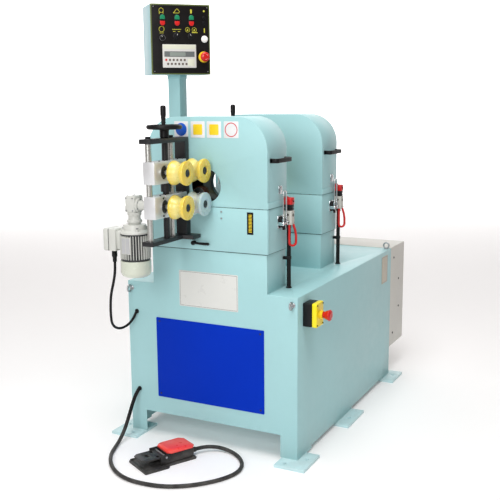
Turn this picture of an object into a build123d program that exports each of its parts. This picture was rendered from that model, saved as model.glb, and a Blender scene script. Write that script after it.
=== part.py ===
# Tube polishing machine: two polishing heads in line on one welded base cabinet.
# Origin: floor level at the plan centre of the base. +X is the operator's right, +Y runs to the rear.

import os
from math import cos, pi, radians, sin, tan
from build123d import *

os.makedirs("parts", exist_ok=True)

# Base cabinet
base_width = 800
base_depth = 1214
base_top = 685
sheet = 4
leg_width = 76
leg_depth = 145
front_skirt = 107
side_skirt = 20
middle_leg_start = 430
middle_leg_end = 640

# Foot plates and anchor holes
foot_thickness = 12
foot_reach_side = 61
foot_reach_front = 75
foot_reach_rear = 45
foot_inner_width = 70
foot_length = 165
anchor_hole_radius = 8
anchor_side_out = 31
anchor_side_inset = 28
anchor_front_out = 44
anchor_front_inset = 35
middle_anchor_place = 525

# Heads: pedestal, lower housing and hinged hood
head_pitch = 564
head_depth = 182
head_proud = 3
head_width = 546
head_wall = 3
pedestal_inset = 5
pedestal_depth = 176
pedestal_height = 162
housing_height = 177
split_gap = 2
hood_height = 359
hood_corner_radius = 130
tube_above_split = 86
tube_opening_radius = 67

# Hood hinges
hinge_out = 8
hinge_pin_radius = 4
hinge_barrel_radius = 7
hinge_gap = 0.3
hinge_length = 50
hinge_leaf_tall = 12
hinge_leaf_drop = 14
hinge_knuckle_tall = 20
hinge_places = (40, 136)

# Polishing rotor and its bearing
rotor_disc_radius = 226
rotor_disc_thickness = 12
rotor_disc_place = 98
spindle_bore_radius = 70
spindle_wall = 9
spindle_length = 56
bearing_wall = 24
bearing_depth = 40
bearing_setback = 8
bearing_pillar_width = 120
rotor_clearance = 0.3
belt_head_count = 3
belt_width = 34
belt_thickness = 3
contact_wheel_radius = 26
idler_wheel_radius = 18
contact_wheel_place = 80
idler_wheel_place = 192
wheel_axle_radius = 7
wheel_standoff = 4

# Roller unit in front of each head (places are measured from the head's front face, heights from the tube)
unit_left = -125
unit_right = -76
unit_front = 285
unit_standoff = 8
unit_back_thickness = 26
unit_drop = 212
unit_bottom_thickness = 16
unit_rise = 177
unit_top_thickness = 18
unit_foot_right = -27
unit_foot_depth = 60
unit_foot_tall = 80
rod_x = -103
front_rod_place = 257
rear_rod_place = 98
rod_radius = 12
rod_gap = 0.3
screw_x = -100
screw_place = 146
screw_radius = 13
screw_gap = 1
screw_inset = 2
block_left = -121
block_right = -70
block_front_place = 270
block_back_place = 38
block_height = 86
block_slot = 10
block_slot_depth = 20
bearing_recess_radius = 27
bearing_recess_depth = 14
roller_rise = 66
front_roller_place = 197
rear_roller_place = 66
roller_length = 68
roller_flange_radius = 47
roller_waist_radius = 37
roller_bore_radius = 9
roller_bore_depth = 8
roller_flange_flat = 10
shaft_radius = 10
shaft_inset = 6
shaft_gap = 0.3
nut_radius = 19
nut_length = 36

# Handwheel
wheel_radius = 70
wheel_standing = 33
wheel_thickness = 18
wheel_hub_radius = 18
grip_place = 56
grip_angle = radians(60)
grip_radius = 11
grip_length = 74

# Gear motor hung beside each lower roller block
motor_x = -217
motor_radius = 61
motor_body_length = 112
cowl_length = 66
cowl_edge_radius = 22
flange_radius = 46
flange_length = 33
neck_radius = 30
neck_length = 49
gearbox_width = 46
gearbox_length = 66
gearbox_height = 65
gearbox_shaft_drop = 38
output_radius = 20
terminal_box_length = 66
terminal_box_width = 84
terminal_box_drop = 76
terminal_box_height = 90
terminal_box_sides = ((-1, 0, 0), (0, -1, 0))
gland_radius = 12
gland_length = 52
gland_inset = 24

# Control post and box
post_x = -355
post_place = 371
post_size = 60
post_wall = 4
post_top = 1545
collar_height = 16
collar_size = 64
control_box_width = 266
control_box_depth = 165
control_box_height = 300
swivel_gap = 0.3
control_box_wall = 2
control_box_corner = 6
control_panel_lap = 4
control_turn = 45
control_panel_width = 254
control_panel_height = 288
control_panel_thickness = 3

# Stop buttons
stop_box_place = 86
stop_box_height = 607
stop_box_width = 74
stop_box_tall = 98
stop_box_back = 38
stop_box_lid = 22
stop_collar_radius = 16.5
stop_collar_length = 10
stop_cap_foot_radius = 17
stop_cap_radius = 21
stop_cap_length = 16
side_cap_foot_radius = 15
side_cap_radius = 23
side_cap_length = 27
stop_stem_radius = 10
stop_travel = 5
stop_cap_gap = 2
stop_cap_fillet = 6
stop_stem_inset = 8
stop_bezel = 14

# Right side fittings of each head (places are measured from the head's front face)
latch_place = 112
latch_base_drop = 59
latch_ear = 5
latch_gap = 0.3
latch_block = 10
latch_base_tall = 50
latch_pivot_drop = 6
latch_base_depth = 14
latch_pivot_out = 23
latch_wire_radius = 3.5
latch_wire_width = 36
latch_wire_rise = 68
catch_rise = 52
catch_tall = 34
catch_out = 8
switch_place = 160
switch_width = 32
switch_depth = 38
switch_drop = 76
switch_head_drop = 6
key_rise = 6
key_tall = 34
key_loop_drop = 96
key_loop_clearance = 3
key_loop_thickness = 7
handle_rise = 190
handle_front = 22
handle_back = 166
handle_out = 34
handle_wide = 18
handle_thickness = 7
hose_radius = 9

# Electrical cabinet behind the base
cabinet_depth = 236
cabinet_bottom = 155
cabinet_top = 688
cabinet_cover_thickness = 3
cabinet_wall = 3

# Plates without lettering
cover_left = -258
cover_right = 254
cover_bottom = 183
cover_top = 537
cover_thickness = 4
name_left = -139
name_right = 138
name_bottom = 600
name_top = 753
plate_thickness = 1.5

# Lifting eyes
eye_inset = 20
eye_height = 655
eye_ring_radius = 14
eye_wire_radius = 4
eye_shank_radius = 6
rear_eye_inset = 20

# Foot switch (it stands on the floor in front of the base)
pedal_x = -98
pedal_place = 216
pedal_turn = -28.7
pedal_length = 246
pedal_toe_width = 150
pedal_toe_length = 112
pedal_rear_width = 116
pedal_plate = 8
pedal_body_height = 50
pedal_body_start = 118
pedal_body_width = 96
pedal_cover_height = 14
pedal_cover_overhang = 6
pedal_cover_corner = 16
pedal_cover_bevel = 6
pedal_plate_lip = 8
relief_side = 20
relief_height = 24
relief_radius = 11
relief_length = 24
treadle_width = 88
treadle_length = 104
treadle_thickness = 7
treadle_pivot_height = 38
treadle_setback = 10
treadle_pin_radius = 5
treadle_gap = 1
treadle_pin_gap = 0.3
bracket_length = 36
bracket_thickness = 6

# Cords
motor_cord_radius = 5.5
foot_cord_radius = 8
motor_cord_inset = 43
motor_cord_height = 552
foot_cord_inset = 44
foot_cord_height = 202
arc_share = 0.48

front_y = -base_depth / 2
rear_y = base_depth / 2
half_width = base_width / 2
head_fronts = (front_y - head_proud, front_y - head_proud + head_pitch)
head_half = head_width / 2
unit_fronts = (front_y, front_y + head_pitch)
pedestal_width = head_width - 2 * pedestal_inset
eye_x = half_width - eye_inset

# Heights, each from the piece that carries it
pedestal_top = base_top + pedestal_height
split_height = pedestal_top + housing_height
hood_top = split_height + hood_height
tube_height = split_height + tube_above_split
upper_roller_height = tube_height + roller_rise
lower_roller_height = tube_height - roller_rise
unit_bottom_height = tube_height - unit_drop
unit_top_height = tube_height + unit_rise
wheel_bottom = unit_top_height + unit_top_thickness + wheel_standing
gearbox_top = lower_roller_height + gearbox_shaft_drop
neck_top = gearbox_top - gearbox_height
flange_top = neck_top - neck_length
motor_body_top = flange_top - flange_length
motor_body_bottom = motor_body_top - motor_body_length
cowl_bottom = motor_body_bottom - cowl_length
terminal_box_bottom = motor_body_top - terminal_box_drop
latch_base_height = split_height - latch_base_drop
latch_wire_top = split_height + latch_wire_rise
catch_bottom = split_height + catch_rise
switch_bottom = split_height - switch_drop
switch_head_top = split_height - switch_head_drop
key_bottom = split_height + key_rise
handle_height = split_height + handle_rise


def facing_front(y):
    """Sketch plane across the machine at y, seen from the front: a negative extrude runs to the rear."""
    return Plane.XZ.offset(-y)


def save(piece, name):
    piece.label = name
    export_step(piece, "parts/" + name + ".step")


# Base cabinet panels
with BuildPart() as base_front_panel:
    with BuildSketch(facing_front(front_y)):
        with Locations((0, (foot_thickness + base_top) / 2)):
            Rectangle(base_width, base_top - foot_thickness)
        with Locations((0, (base_top + pedestal_top) / 2)):
            Rectangle(pedestal_width, pedestal_top - base_top)
        with Locations((0, (foot_thickness + front_skirt) / 2)):
            Rectangle(base_width - 2 * leg_width, front_skirt - foot_thickness, mode=Mode.SUBTRACT)
    extrude(amount=-sheet)
save(base_front_panel.part, "base_front_panel")

with BuildPart() as base_rear_panel:
    with BuildSketch(facing_front(rear_y)):
        with Locations((0, (foot_thickness + base_top) / 2)):
            Rectangle(base_width, base_top - foot_thickness)
        with Locations((0, (foot_thickness + front_skirt) / 2)):
            Rectangle(base_width - 2 * leg_width, front_skirt - foot_thickness, mode=Mode.SUBTRACT)
    extrude(amount=sheet)
save(base_rear_panel.part, "base_rear_panel")

side_gaps = ((leg_depth, middle_leg_start), (middle_leg_end, base_depth - leg_depth))
with BuildPart() as base_side_panels:
    for side in (-1, 1):
        with BuildSketch(Plane.YZ.offset(side * half_width)):
            with Locations((0, (foot_thickness + base_top) / 2)):
                Rectangle(base_depth - 2 * sheet, base_top - foot_thickness)
            for start, end in side_gaps:
                with Locations((front_y + (start + end) / 2, (foot_thickness + side_skirt) / 2)):
                    Rectangle(end - start, side_skirt - foot_thickness, mode=Mode.SUBTRACT)
        extrude(amount=-side * sheet)
save(base_side_panels.part, "base_side_panels")

# Hoses and cords pass through the top plate and the front panel
inner_width = base_width - 2 * sheet
inner_depth = base_depth - 2 * sheet
hose_x = head_half + switch_depth / 2
with BuildPart() as base_top_plate:
    with BuildSketch(Plane.XY.offset(base_top - sheet)):
        Rectangle(inner_width, inner_depth)
        for head_front in head_fronts:
            with Locations((hose_x, head_front + switch_place)):
                Circle(hose_radius, mode=Mode.SUBTRACT)
    extrude(amount=sheet)
save(base_top_plate.part, "base_top_plate")

with BuildPart() as base_floor_pan:
    with BuildSketch(Plane.XY.offset(front_skirt)):
        Rectangle(inner_width, inner_depth)
    extrude(amount=sheet)
save(base_floor_pan.part, "base_floor_pan")

# Foot plates: one under each corner and one under the middle of each side
anchor_side_x = half_width + anchor_side_out
anchor_side_y = base_depth / 2 - anchor_side_inset
anchor_front_x = half_width - anchor_front_inset
anchor_front_y = front_y - anchor_front_out
foot_width = foot_inner_width + foot_reach_side
foot_centre_x = half_width + foot_reach_side - foot_width / 2
middle_foot_width = foot_reach_side + 2 * sheet
middle_foot_x = half_width + foot_reach_side - middle_foot_width / 2
middle_foot_y = front_y + (middle_leg_start + middle_leg_end) / 2
front_foot_y = front_y - foot_reach_front + foot_length / 2
rear_foot_y = rear_y + foot_reach_rear - foot_length / 2
with BuildPart() as foot_plates:
    with BuildSketch():
        for side in (-1, 1):
            with Locations((side * foot_centre_x, front_foot_y), (side * foot_centre_x, rear_foot_y)):
                Rectangle(foot_width, foot_length)
            with Locations((side * middle_foot_x, middle_foot_y)):
                Rectangle(middle_foot_width, middle_leg_end - middle_leg_start)
        with GridLocations(2 * anchor_side_x, 2 * anchor_side_y, 2, 2):
            Circle(anchor_hole_radius, mode=Mode.SUBTRACT)
        for side in (-1, 1):
            with Locations((side * anchor_front_x, anchor_front_y),
                           (side * anchor_side_x, front_y + middle_anchor_place)):
                Circle(anchor_hole_radius, mode=Mode.SUBTRACT)
    extrude(amount=foot_thickness)
save(foot_plates.part, "foot_plates")

# Pedestals under the heads: the first stands behind the raised front panel
pedestal_fronts = (front_y + sheet, head_fronts[1] + head_proud)
with BuildPart() as head_pedestals:
    for pedestal_front in pedestal_fronts:
        with BuildSketch(Plane.XY.offset(base_top)):
            with Locations((0, pedestal_front + pedestal_depth / 2)):
                Rectangle(pedestal_width, pedestal_depth)
                Rectangle(pedestal_width - 2 * sheet, pedestal_depth - 2 * sheet, mode=Mode.SUBTRACT)
        extrude(amount=pedestal_top - base_top)
save(head_pedestals.part, "head_pedestals")

# Lower housings: open boxes that the hoods close
with BuildPart() as head_housings:
    for head_front in head_fronts:
        middle = head_front + head_depth / 2
        with BuildSketch(Plane.XY.offset(pedestal_top)):
            with Locations((0, middle)):
                Rectangle(head_width, head_depth)
        extrude(amount=split_height - pedestal_top)
        with BuildSketch(Plane.XY.offset(pedestal_top + sheet)):
            with Locations((0, middle)):
                Rectangle(head_width - 2 * sheet, head_depth - 2 * sheet)
        extrude(amount=split_height - pedestal_top - sheet, mode=Mode.SUBTRACT)
save(head_housings.part, "head_housings")

# Spindle bearings stand on the housing floors
bearing_start = rotor_disc_place + rotor_disc_thickness + bearing_setback
spindle_radius = spindle_bore_radius + spindle_wall
bearing_bore = spindle_radius + rotor_clearance
with BuildPart() as spindle_bearings:
    for head_front in head_fronts:
        with BuildSketch(facing_front(head_front + bearing_start)):
            with Locations((0, tube_height)):
                Circle(bearing_bore + bearing_wall)
            floor_height = pedestal_top + sheet
            with Locations((0, (floor_height + tube_height) / 2)):
                Rectangle(bearing_pillar_width, tube_height - floor_height)
            with Locations((0, tube_height)):
                Circle(bearing_bore, mode=Mode.SUBTRACT)
        extrude(amount=-bearing_depth)
save(spindle_bearings.part, "spindle_bearings")

# Hood hinges: two per hood, each a fixed pair of barrels on a pin with the hood's barrel between
hinge_x = -head_half - hinge_out
hinge_height = split_height + split_gap / 2
hinge_leaf_x = (hinge_x - head_half) / 2
hinge_knuckle_wide = 2 * hinge_barrel_radius - 4
third = hinge_length / 3
with BuildPart() as hood_hinges:
    for head_front in head_fronts:
        for place in hinge_places:
            start = head_front + place - hinge_length / 2
            with BuildSketch(facing_front(start)):
                with Locations((hinge_x, hinge_height)):
                    Circle(hinge_pin_radius)
            extrude(amount=-hinge_length)
            for step in (0, 2):
                with BuildSketch(facing_front(start + step * third)):
                    with Locations((hinge_x, hinge_height)):
                        Circle(hinge_barrel_radius)
                    with Locations((hinge_leaf_x, hinge_height - hinge_leaf_drop)):
                        Rectangle(hinge_out, hinge_leaf_tall)
                    with Locations((hinge_x, hinge_height - hinge_knuckle_tall / 2)):
                        Rectangle(hinge_knuckle_wide, hinge_knuckle_tall)
                extrude(amount=-(third - hinge_gap))
save(hood_hinges.part, "hood_hinges")


for number, head_front in enumerate(head_fronts, 1):
    hood_bottom = split_height + split_gap
    hood_middle = (hood_bottom + hood_top) / 2
    with BuildPart() as hood_faces:
        for y in (head_front, head_front + head_depth - head_wall):
            with BuildSketch(facing_front(y)) as face:
                with Locations((0, hood_middle)):
                    Rectangle(head_width, hood_top - hood_bottom)
                fillet(face.vertices().group_by(Axis.Y)[-1], hood_corner_radius)
                with Locations((0, tube_height)):
                    Circle(tube_opening_radius, mode=Mode.SUBTRACT)
            extrude(amount=-head_wall)
    save(hood_faces.part, "hood_faces_" + str(number))

    with BuildPart() as hood_shell:
        with BuildSketch(facing_front(head_front + head_wall)) as rim:
            with Locations((0, hood_middle)):
                Rectangle(head_width, hood_top - hood_bottom)
            fillet(rim.vertices().group_by(Axis.Y)[-1], hood_corner_radius)
            with BuildSketch(mode=Mode.PRIVATE) as hollow:
                with Locations((0, hood_middle - head_wall)):
                    Rectangle(head_width - 2 * head_wall, hood_top - hood_bottom)
                fillet(hollow.vertices().group_by(Axis.Y)[-1], hood_corner_radius - head_wall)
            add(hollow.sketch, mode=Mode.SUBTRACT)
        extrude(amount=-(head_depth - 2 * head_wall))
    save(hood_shell.part, "hood_shell_" + str(number))

    # Grab handle, latch catch, interlock key and hinge barrels carried by the hood
    with BuildPart() as hood_fittings:
        grip_start = head_front + handle_front
        grip_span = handle_back - handle_front
        with BuildSketch(Plane.XY.offset(handle_height - handle_wide / 2)):
            with Locations((head_half + handle_out / 2, grip_start + grip_span / 2)):
                Rectangle(handle_out, grip_span)
            with Locations((head_half + (handle_out - handle_thickness) / 2, grip_start + grip_span / 2)):
                Rectangle(handle_out - handle_thickness, grip_span - 2 * handle_thickness, mode=Mode.SUBTRACT)
        extrude(amount=handle_wide)
        with BuildSketch(Plane.XY.offset(catch_bottom)):
            with Locations((head_half + catch_out / 2, head_front + latch_place)):
                Rectangle(catch_out, latch_wire_width - 4 * latch_wire_radius)
        extrude(amount=catch_tall)
        with BuildSketch(Plane.XY.offset(key_bottom)):
            with Locations((head_half + switch_depth / 2, head_front + switch_place)):
                Rectangle(switch_depth, switch_width)
        extrude(amount=key_tall)
        for place in hinge_places:
            start = head_front + place - hinge_length / 2 + third
            with BuildSketch(facing_front(start)):
                with Locations((hinge_x, hinge_height)):
                    Circle(hinge_barrel_radius)
                with Locations((hinge_leaf_x, hinge_height + hinge_leaf_drop)):
                    Rectangle(hinge_out, hinge_leaf_tall)
                with Locations((hinge_x + 1, hinge_height + hinge_knuckle_tall / 2)):
                    Rectangle(hinge_knuckle_wide, hinge_knuckle_tall)
                with Locations((hinge_x, hinge_height)):
                    Circle(hinge_pin_radius + hinge_gap / 3, mode=Mode.SUBTRACT)
            extrude(amount=-(third - hinge_gap))
    save(hood_fittings.part, "hood_fittings_" + str(number))

# Polishing rotors: a disc on a hollow spindle, with belt heads around the tube
for number, head_front in enumerate(head_fronts, 1):
    disc_front = head_front + rotor_disc_place
    wheel_back = disc_front - wheel_standoff
    with BuildPart() as rotor:
        with BuildSketch(facing_front(disc_front)):
            with Locations((0, tube_height)):
                Circle(rotor_disc_radius)
                Circle(spindle_bore_radius, mode=Mode.SUBTRACT)
        extrude(amount=-rotor_disc_thickness)
        with BuildSketch(facing_front(disc_front + rotor_disc_thickness)):
            with Locations((0, tube_height)):
                Circle(spindle_radius)
                Circle(spindle_bore_radius, mode=Mode.SUBTRACT)
        extrude(amount=-spindle_length)
        for radius, wheel in ((contact_wheel_place, contact_wheel_radius),
                              (idler_wheel_place, idler_wheel_radius)):
            with BuildSketch(facing_front(disc_front)):
                with Locations((0, tube_height)):
                    with PolarLocations(radius, belt_head_count, 90):
                        Circle(wheel_axle_radius)
            extrude(amount=wheel_standoff)
            with BuildSketch(facing_front(wheel_back)):
                with Locations((0, tube_height)):
                    with PolarLocations(radius, belt_head_count, 90):
                        Circle(wheel)
            extrude(amount=belt_width)
    save(rotor.part, "rotor_" + str(number))

    with BuildPart() as belts:
        with BuildSketch(facing_front(wheel_back)):
            with Locations((0, tube_height)):
                with PolarLocations((contact_wheel_place + idler_wheel_place) / 2, belt_head_count, 90):
                    span = idler_wheel_place - contact_wheel_place
                    with BuildSketch(mode=Mode.PRIVATE) as loop:
                        with Locations((-span / 2, 0)):
                            Circle(contact_wheel_radius + belt_thickness)
                        with Locations((span / 2, 0)):
                            Circle(idler_wheel_radius + belt_thickness)
                        make_hull()
                    with BuildSketch(mode=Mode.PRIVATE) as inside:
                        with Locations((-span / 2, 0)):
                            Circle(contact_wheel_radius)
                        with Locations((span / 2, 0)):
                            Circle(idler_wheel_radius)
                        make_hull()
                    add(loop.sketch - inside.sketch)
        extrude(amount=belt_width)
    save(belts.part, "polishing_belts_" + str(number))

# Roller unit frames: back plate, top plate and bottom plate in one bracket
unit_middle_x = (unit_left + unit_right) / 2
unit_width = unit_right - unit_left
with BuildPart() as roller_frames:
    for unit_front_y in unit_fronts:
        back = unit_front_y - unit_standoff
        with BuildSketch(facing_front(back)):
            low = unit_bottom_height
            high = unit_top_height + unit_top_thickness
            with Locations((unit_middle_x, (low + high) / 2)):
                Rectangle(unit_width, high - low)
        extrude(amount=unit_back_thickness)
        for height, thickness in ((unit_bottom_height, unit_bottom_thickness),
                                  (unit_top_height, unit_top_thickness)):
            with BuildSketch(Plane.XY.offset(height)):
                depth = unit_front - unit_standoff
                with Locations((unit_middle_x, back - depth / 2)):
                    Rectangle(unit_width, depth)
                with Locations((screw_x, unit_front_y - screw_place)):
                    Circle(screw_radius + rod_gap, mode=Mode.SUBTRACT)
            extrude(amount=thickness)
        # Foot on the lower housing that carries the bracket
        foot_middle = (unit_left + unit_foot_right) / 2
        with BuildSketch(Plane.XY.offset(unit_bottom_height)):
            with Locations((foot_middle, back - unit_foot_depth / 2)):
                Rectangle(unit_foot_right - unit_left, unit_foot_depth)
        extrude(amount=unit_bottom_thickness)
        with BuildSketch(facing_front(unit_front_y - head_proud)):
            with Locations((unit_middle_x, unit_bottom_height + unit_foot_tall / 2)):
                Rectangle(unit_width, unit_foot_tall)
        extrude(amount=unit_standoff - head_proud)
save(roller_frames.part, "roller_frames")

rod_bottom = unit_bottom_height + unit_bottom_thickness
with BuildPart() as guide_rods:
    for unit_front_y in unit_fronts:
        with BuildSketch(Plane.XY.offset(rod_bottom)):
            with Locations((rod_x, unit_front_y - front_rod_place), (rod_x, unit_front_y - rear_rod_place)):
                Circle(rod_radius)
        extrude(amount=unit_top_height - rod_bottom)
save(guide_rods.part, "guide_rods")


block_middle_x = (block_left + block_right) / 2
block_middle_place = (block_front_place + block_back_place) / 2


def roller_block(centre_height, unit_front_y, rod_bore):
    """Aluminium block on the guide rods with two bearing seats for roller shafts."""
    with BuildPart() as made:
        with BuildSketch(Plane.XY.offset(centre_height - block_height / 2)):
            with Locations((block_middle_x, unit_front_y - block_middle_place)):
                Rectangle(block_right - block_left, block_front_place - block_back_place)
            with Locations((rod_x, unit_front_y - front_rod_place), (rod_x, unit_front_y - rear_rod_place)):
                Circle(rod_bore, mode=Mode.SUBTRACT)
            with Locations((screw_x, unit_front_y - screw_place)):
                Circle(screw_radius + screw_gap, mode=Mode.SUBTRACT)
        extrude(amount=block_height)
        seats = ((unit_front_y - front_roller_place, centre_height),
                 (unit_front_y - rear_roller_place, centre_height))
        with BuildSketch(Plane.YZ.offset(block_right)):
            with Locations(*seats):
                Circle(bearing_recess_radius)
        extrude(amount=-bearing_recess_depth, mode=Mode.SUBTRACT)
        with BuildSketch(Plane.YZ.offset(block_left)):
            with Locations(*seats):
                Circle(shaft_radius + shaft_gap)
        extrude(amount=block_right - block_left, mode=Mode.SUBTRACT)
    return made.part


with BuildPart() as lower_roller_blocks:
    for unit_front_y in unit_fronts:
        add(roller_block(lower_roller_height, unit_front_y, rod_radius))
        with BuildSketch(facing_front(unit_front_y - front_roller_place - block_slot / 2)):
            with Locations((block_right - block_slot_depth / 2, lower_roller_height)):
                Rectangle(block_slot_depth, block_height)
        extrude(amount=-block_slot, mode=Mode.SUBTRACT)
save(lower_roller_blocks.part, "lower_roller_blocks")

upper_bottom = upper_roller_height - block_height / 2
for number, unit_front_y in enumerate(unit_fronts, 1):
    with BuildPart() as upper_block:
        add(roller_block(upper_roller_height, unit_front_y, rod_radius + rod_gap))
        with BuildSketch(Plane.XY.offset(upper_bottom - nut_length)):
            with Locations((screw_x, unit_front_y - screw_place)):
                Circle(nut_radius)
                Circle(screw_radius + screw_gap, mode=Mode.SUBTRACT)
        extrude(amount=nut_length)
    save(upper_block.part, "upper_roller_block_" + str(number))


def roller(unit_front_y, place, height):
    """Waisted roller on its shaft; the shaft runs back into the roller block."""
    with BuildPart() as made:
        axis_plane = Plane(origin=(0, unit_front_y - place, height), x_dir=(1, 0, 0), z_dir=(0, -1, 0))
        half = roller_length / 2
        flat = roller_flange_flat
        shaft_left = block_left + shaft_inset
        with BuildSketch(axis_plane):
            with BuildLine():
                Polyline((-half, 0), (-half, roller_flange_radius), (-half + flat, roller_flange_radius))
                ThreePointArc((-half + flat, roller_flange_radius), (0, roller_waist_radius),
                              (half - flat, roller_flange_radius))
                Polyline((half - flat, roller_flange_radius), (half, roller_flange_radius), (half, 0),
                         (-half, 0))
            make_face()
        revolve(axis=Axis((0, unit_front_y - place, height), (1, 0, 0)))
        with BuildSketch(Plane.YZ.offset(half)):
            with Locations((unit_front_y - place, height)):
                Circle(roller_bore_radius)
        extrude(amount=-roller_bore_depth, mode=Mode.SUBTRACT)
        with BuildSketch(Plane.YZ.offset(shaft_left)):
            with Locations((unit_front_y - place, height)):
                Circle(shaft_radius)
        extrude(amount=-half - shaft_left)
    return made.part


save(roller(unit_fronts[0], front_roller_place, upper_roller_height), "roller_upper_front")
save(roller(unit_fronts[0], rear_roller_place, upper_roller_height), "roller_upper_rear")
save(roller(unit_fronts[0], front_roller_place, lower_roller_height), "roller_lower_front")
save(roller(unit_fronts[0], rear_roller_place, lower_roller_height), "roller_lower_rear")
for name, height in (("upper_rollers_2", upper_roller_height), ("lower_rollers_2", lower_roller_height)):
    front_roller = roller(unit_fronts[1], front_roller_place, height)
    rear_roller = roller(unit_fronts[1], rear_roller_place, height)
    save(Compound(children=[front_roller, rear_roller]), name)

# Handwheels turn the lifting screws
screw_bottom = unit_bottom_height + screw_inset
for number, unit_front_y in enumerate(unit_fronts, 1):
    screw_y = unit_front_y - screw_place
    collar_bottom = unit_top_height + unit_top_thickness + rod_gap
    with BuildPart() as handwheel:
        with BuildSketch(Plane.XY.offset(screw_bottom)):
            with Locations((screw_x, screw_y)):
                Circle(screw_radius)
        extrude(amount=wheel_bottom - screw_bottom)
        with BuildSketch(Plane.XY.offset(collar_bottom)):
            with Locations((screw_x, screw_y)):
                Circle(wheel_hub_radius)
        extrude(amount=wheel_bottom - collar_bottom)
        with BuildSketch(Plane.XY.offset(wheel_bottom)):
            with Locations((screw_x, screw_y)):
                Circle(wheel_radius)
        extrude(amount=wheel_thickness)
        grip_x = screw_x + grip_place * cos(grip_angle)
        grip_y = screw_y - grip_place * sin(grip_angle)
        with BuildSketch(Plane.XY.offset(wheel_bottom + wheel_thickness)):
            with Locations((grip_x, grip_y)):
                Circle(grip_radius)
        extrude(amount=grip_length)
    save(handwheel.part, "handwheel_" + str(number))

# Gear motors: upright motor under a small gearbox that drives the lower front roller
with BuildPart() as gear_motors:
    cowl_corner = cowl_edge_radius * (1 - sin(radians(45)))
    for unit_front_y in unit_fronts:
        motor_y = unit_front_y - front_roller_place
        for bottom, top, radius in ((motor_body_bottom, motor_body_top, motor_radius),
                                    (motor_body_top, flange_top, flange_radius),
                                    (flange_top, neck_top, neck_radius)):
            with BuildSketch(Plane.XY.offset(bottom)):
                with Locations((motor_x, motor_y)):
                    Circle(radius)
            extrude(amount=top - bottom)
        with BuildSketch(Plane.XY.offset(neck_top)):
            with Locations((motor_x, motor_y)):
                Rectangle(gearbox_width, gearbox_length)
        extrude(amount=gearbox_top - neck_top)
        with BuildSketch(Plane.YZ.offset(motor_x + gearbox_width / 2)):
            with Locations((motor_y, lower_roller_height)):
                Circle(output_radius)
        extrude(amount=block_left - motor_x - gearbox_width / 2)
        cowl = Plane(origin=(motor_x, motor_y, 0), x_dir=(1, 0, 0), z_dir=(0, -1, 0))
        with BuildSketch(cowl):
            with BuildLine():
                Line((0, cowl_bottom), (motor_radius - cowl_edge_radius, cowl_bottom))
                ThreePointArc((motor_radius - cowl_edge_radius, cowl_bottom),
                              (motor_radius - cowl_corner, cowl_bottom + cowl_corner),
                              (motor_radius, cowl_bottom + cowl_edge_radius))
                Polyline((motor_radius, cowl_bottom + cowl_edge_radius), (motor_radius, motor_body_bottom),
                         (0, motor_body_bottom), (0, cowl_bottom))
            make_face()
        revolve(axis=Axis((motor_x, motor_y, 0), (0, 0, 1)))
save(gear_motors.part, "gear_motors")


def motor_level(unit_front_y, side, height):
    """Level plane on a motor's axis, with its x direction towards the terminal box."""
    origin = (motor_x, unit_front_y - front_roller_place, height)
    return Plane(origin=origin, x_dir=terminal_box_sides[side], z_dir=(0, 0, 1))


with BuildPart() as terminal_boxes:
    for side, unit_front_y in enumerate(unit_fronts):
        with BuildSketch(motor_level(unit_front_y, side, terminal_box_bottom)):
            with Locations(((motor_radius + terminal_box_length) / 2, 0)):
                Rectangle(motor_radius + terminal_box_length, terminal_box_width)
            Circle(motor_radius, mode=Mode.SUBTRACT)
        extrude(amount=terminal_box_height)
save(terminal_boxes.part, "terminal_boxes")

# Cord glands: under each terminal box, and in the front panel
gland_out = motor_radius + terminal_box_length - gland_inset
gland_x = motor_x - gland_out
motor_cord_entry = (motor_cord_inset - half_width, front_y, motor_cord_height)
foot_cord_entry = (foot_cord_inset - half_width, front_y, foot_cord_height)
front_gland_length = 6
with BuildPart() as cord_glands:
    for side, unit_front_y in enumerate(unit_fronts):
        with BuildSketch(motor_level(unit_front_y, side, terminal_box_bottom)):
            with Locations((gland_out, 0)):
                Circle(gland_radius)
        extrude(amount=-gland_length)
    with BuildSketch(facing_front(front_y)):
        with Locations((motor_cord_entry[0], motor_cord_entry[2]), (foot_cord_entry[0], foot_cord_entry[2])):
            Circle(gland_radius - 2)
    extrude(amount=front_gland_length)
save(cord_glands.part, "cord_glands")

# Clamping levers under the brackets
lever_x = -58
lever_drop = 23
lever_height = unit_bottom_height - lever_drop
lever_radius = 9
lever_hub = 20
lever_reach = 78
lever_tall = 12
lever_thickness = 10
with BuildPart() as clamp_levers:
    for unit_front_y in unit_fronts:
        housing_face = unit_front_y - head_proud
        with BuildSketch(facing_front(housing_face)):
            with Locations((lever_x, lever_height)):
                Circle(lever_radius)
        extrude(amount=lever_hub)
        with BuildSketch(facing_front(housing_face - lever_hub + lever_thickness)):
            with Locations((lever_x + lever_reach / 2, lever_height)):
                Rectangle(lever_reach, lever_tall)
        extrude(amount=lever_thickness)
save(clamp_levers.part, "clamp_levers")

# Control post and the box that swivels on it
post_y = front_y + post_place
control_box_bottom = post_top + collar_height + swivel_gap
with BuildPart() as control_post:
    with BuildSketch(Plane.XY.offset(base_top)):
        with Locations((post_x, post_y)):
            Rectangle(post_size, post_size)
            Rectangle(post_size - 2 * post_wall, post_size - 2 * post_wall, mode=Mode.SUBTRACT)
    extrude(amount=post_top - base_top)
    with BuildSketch(Plane.XY.offset(post_top)):
        with Locations((post_x, post_y)):
            Rectangle(collar_size, collar_size)
    extrude(amount=collar_height)
save(control_post.part, "control_post")

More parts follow.
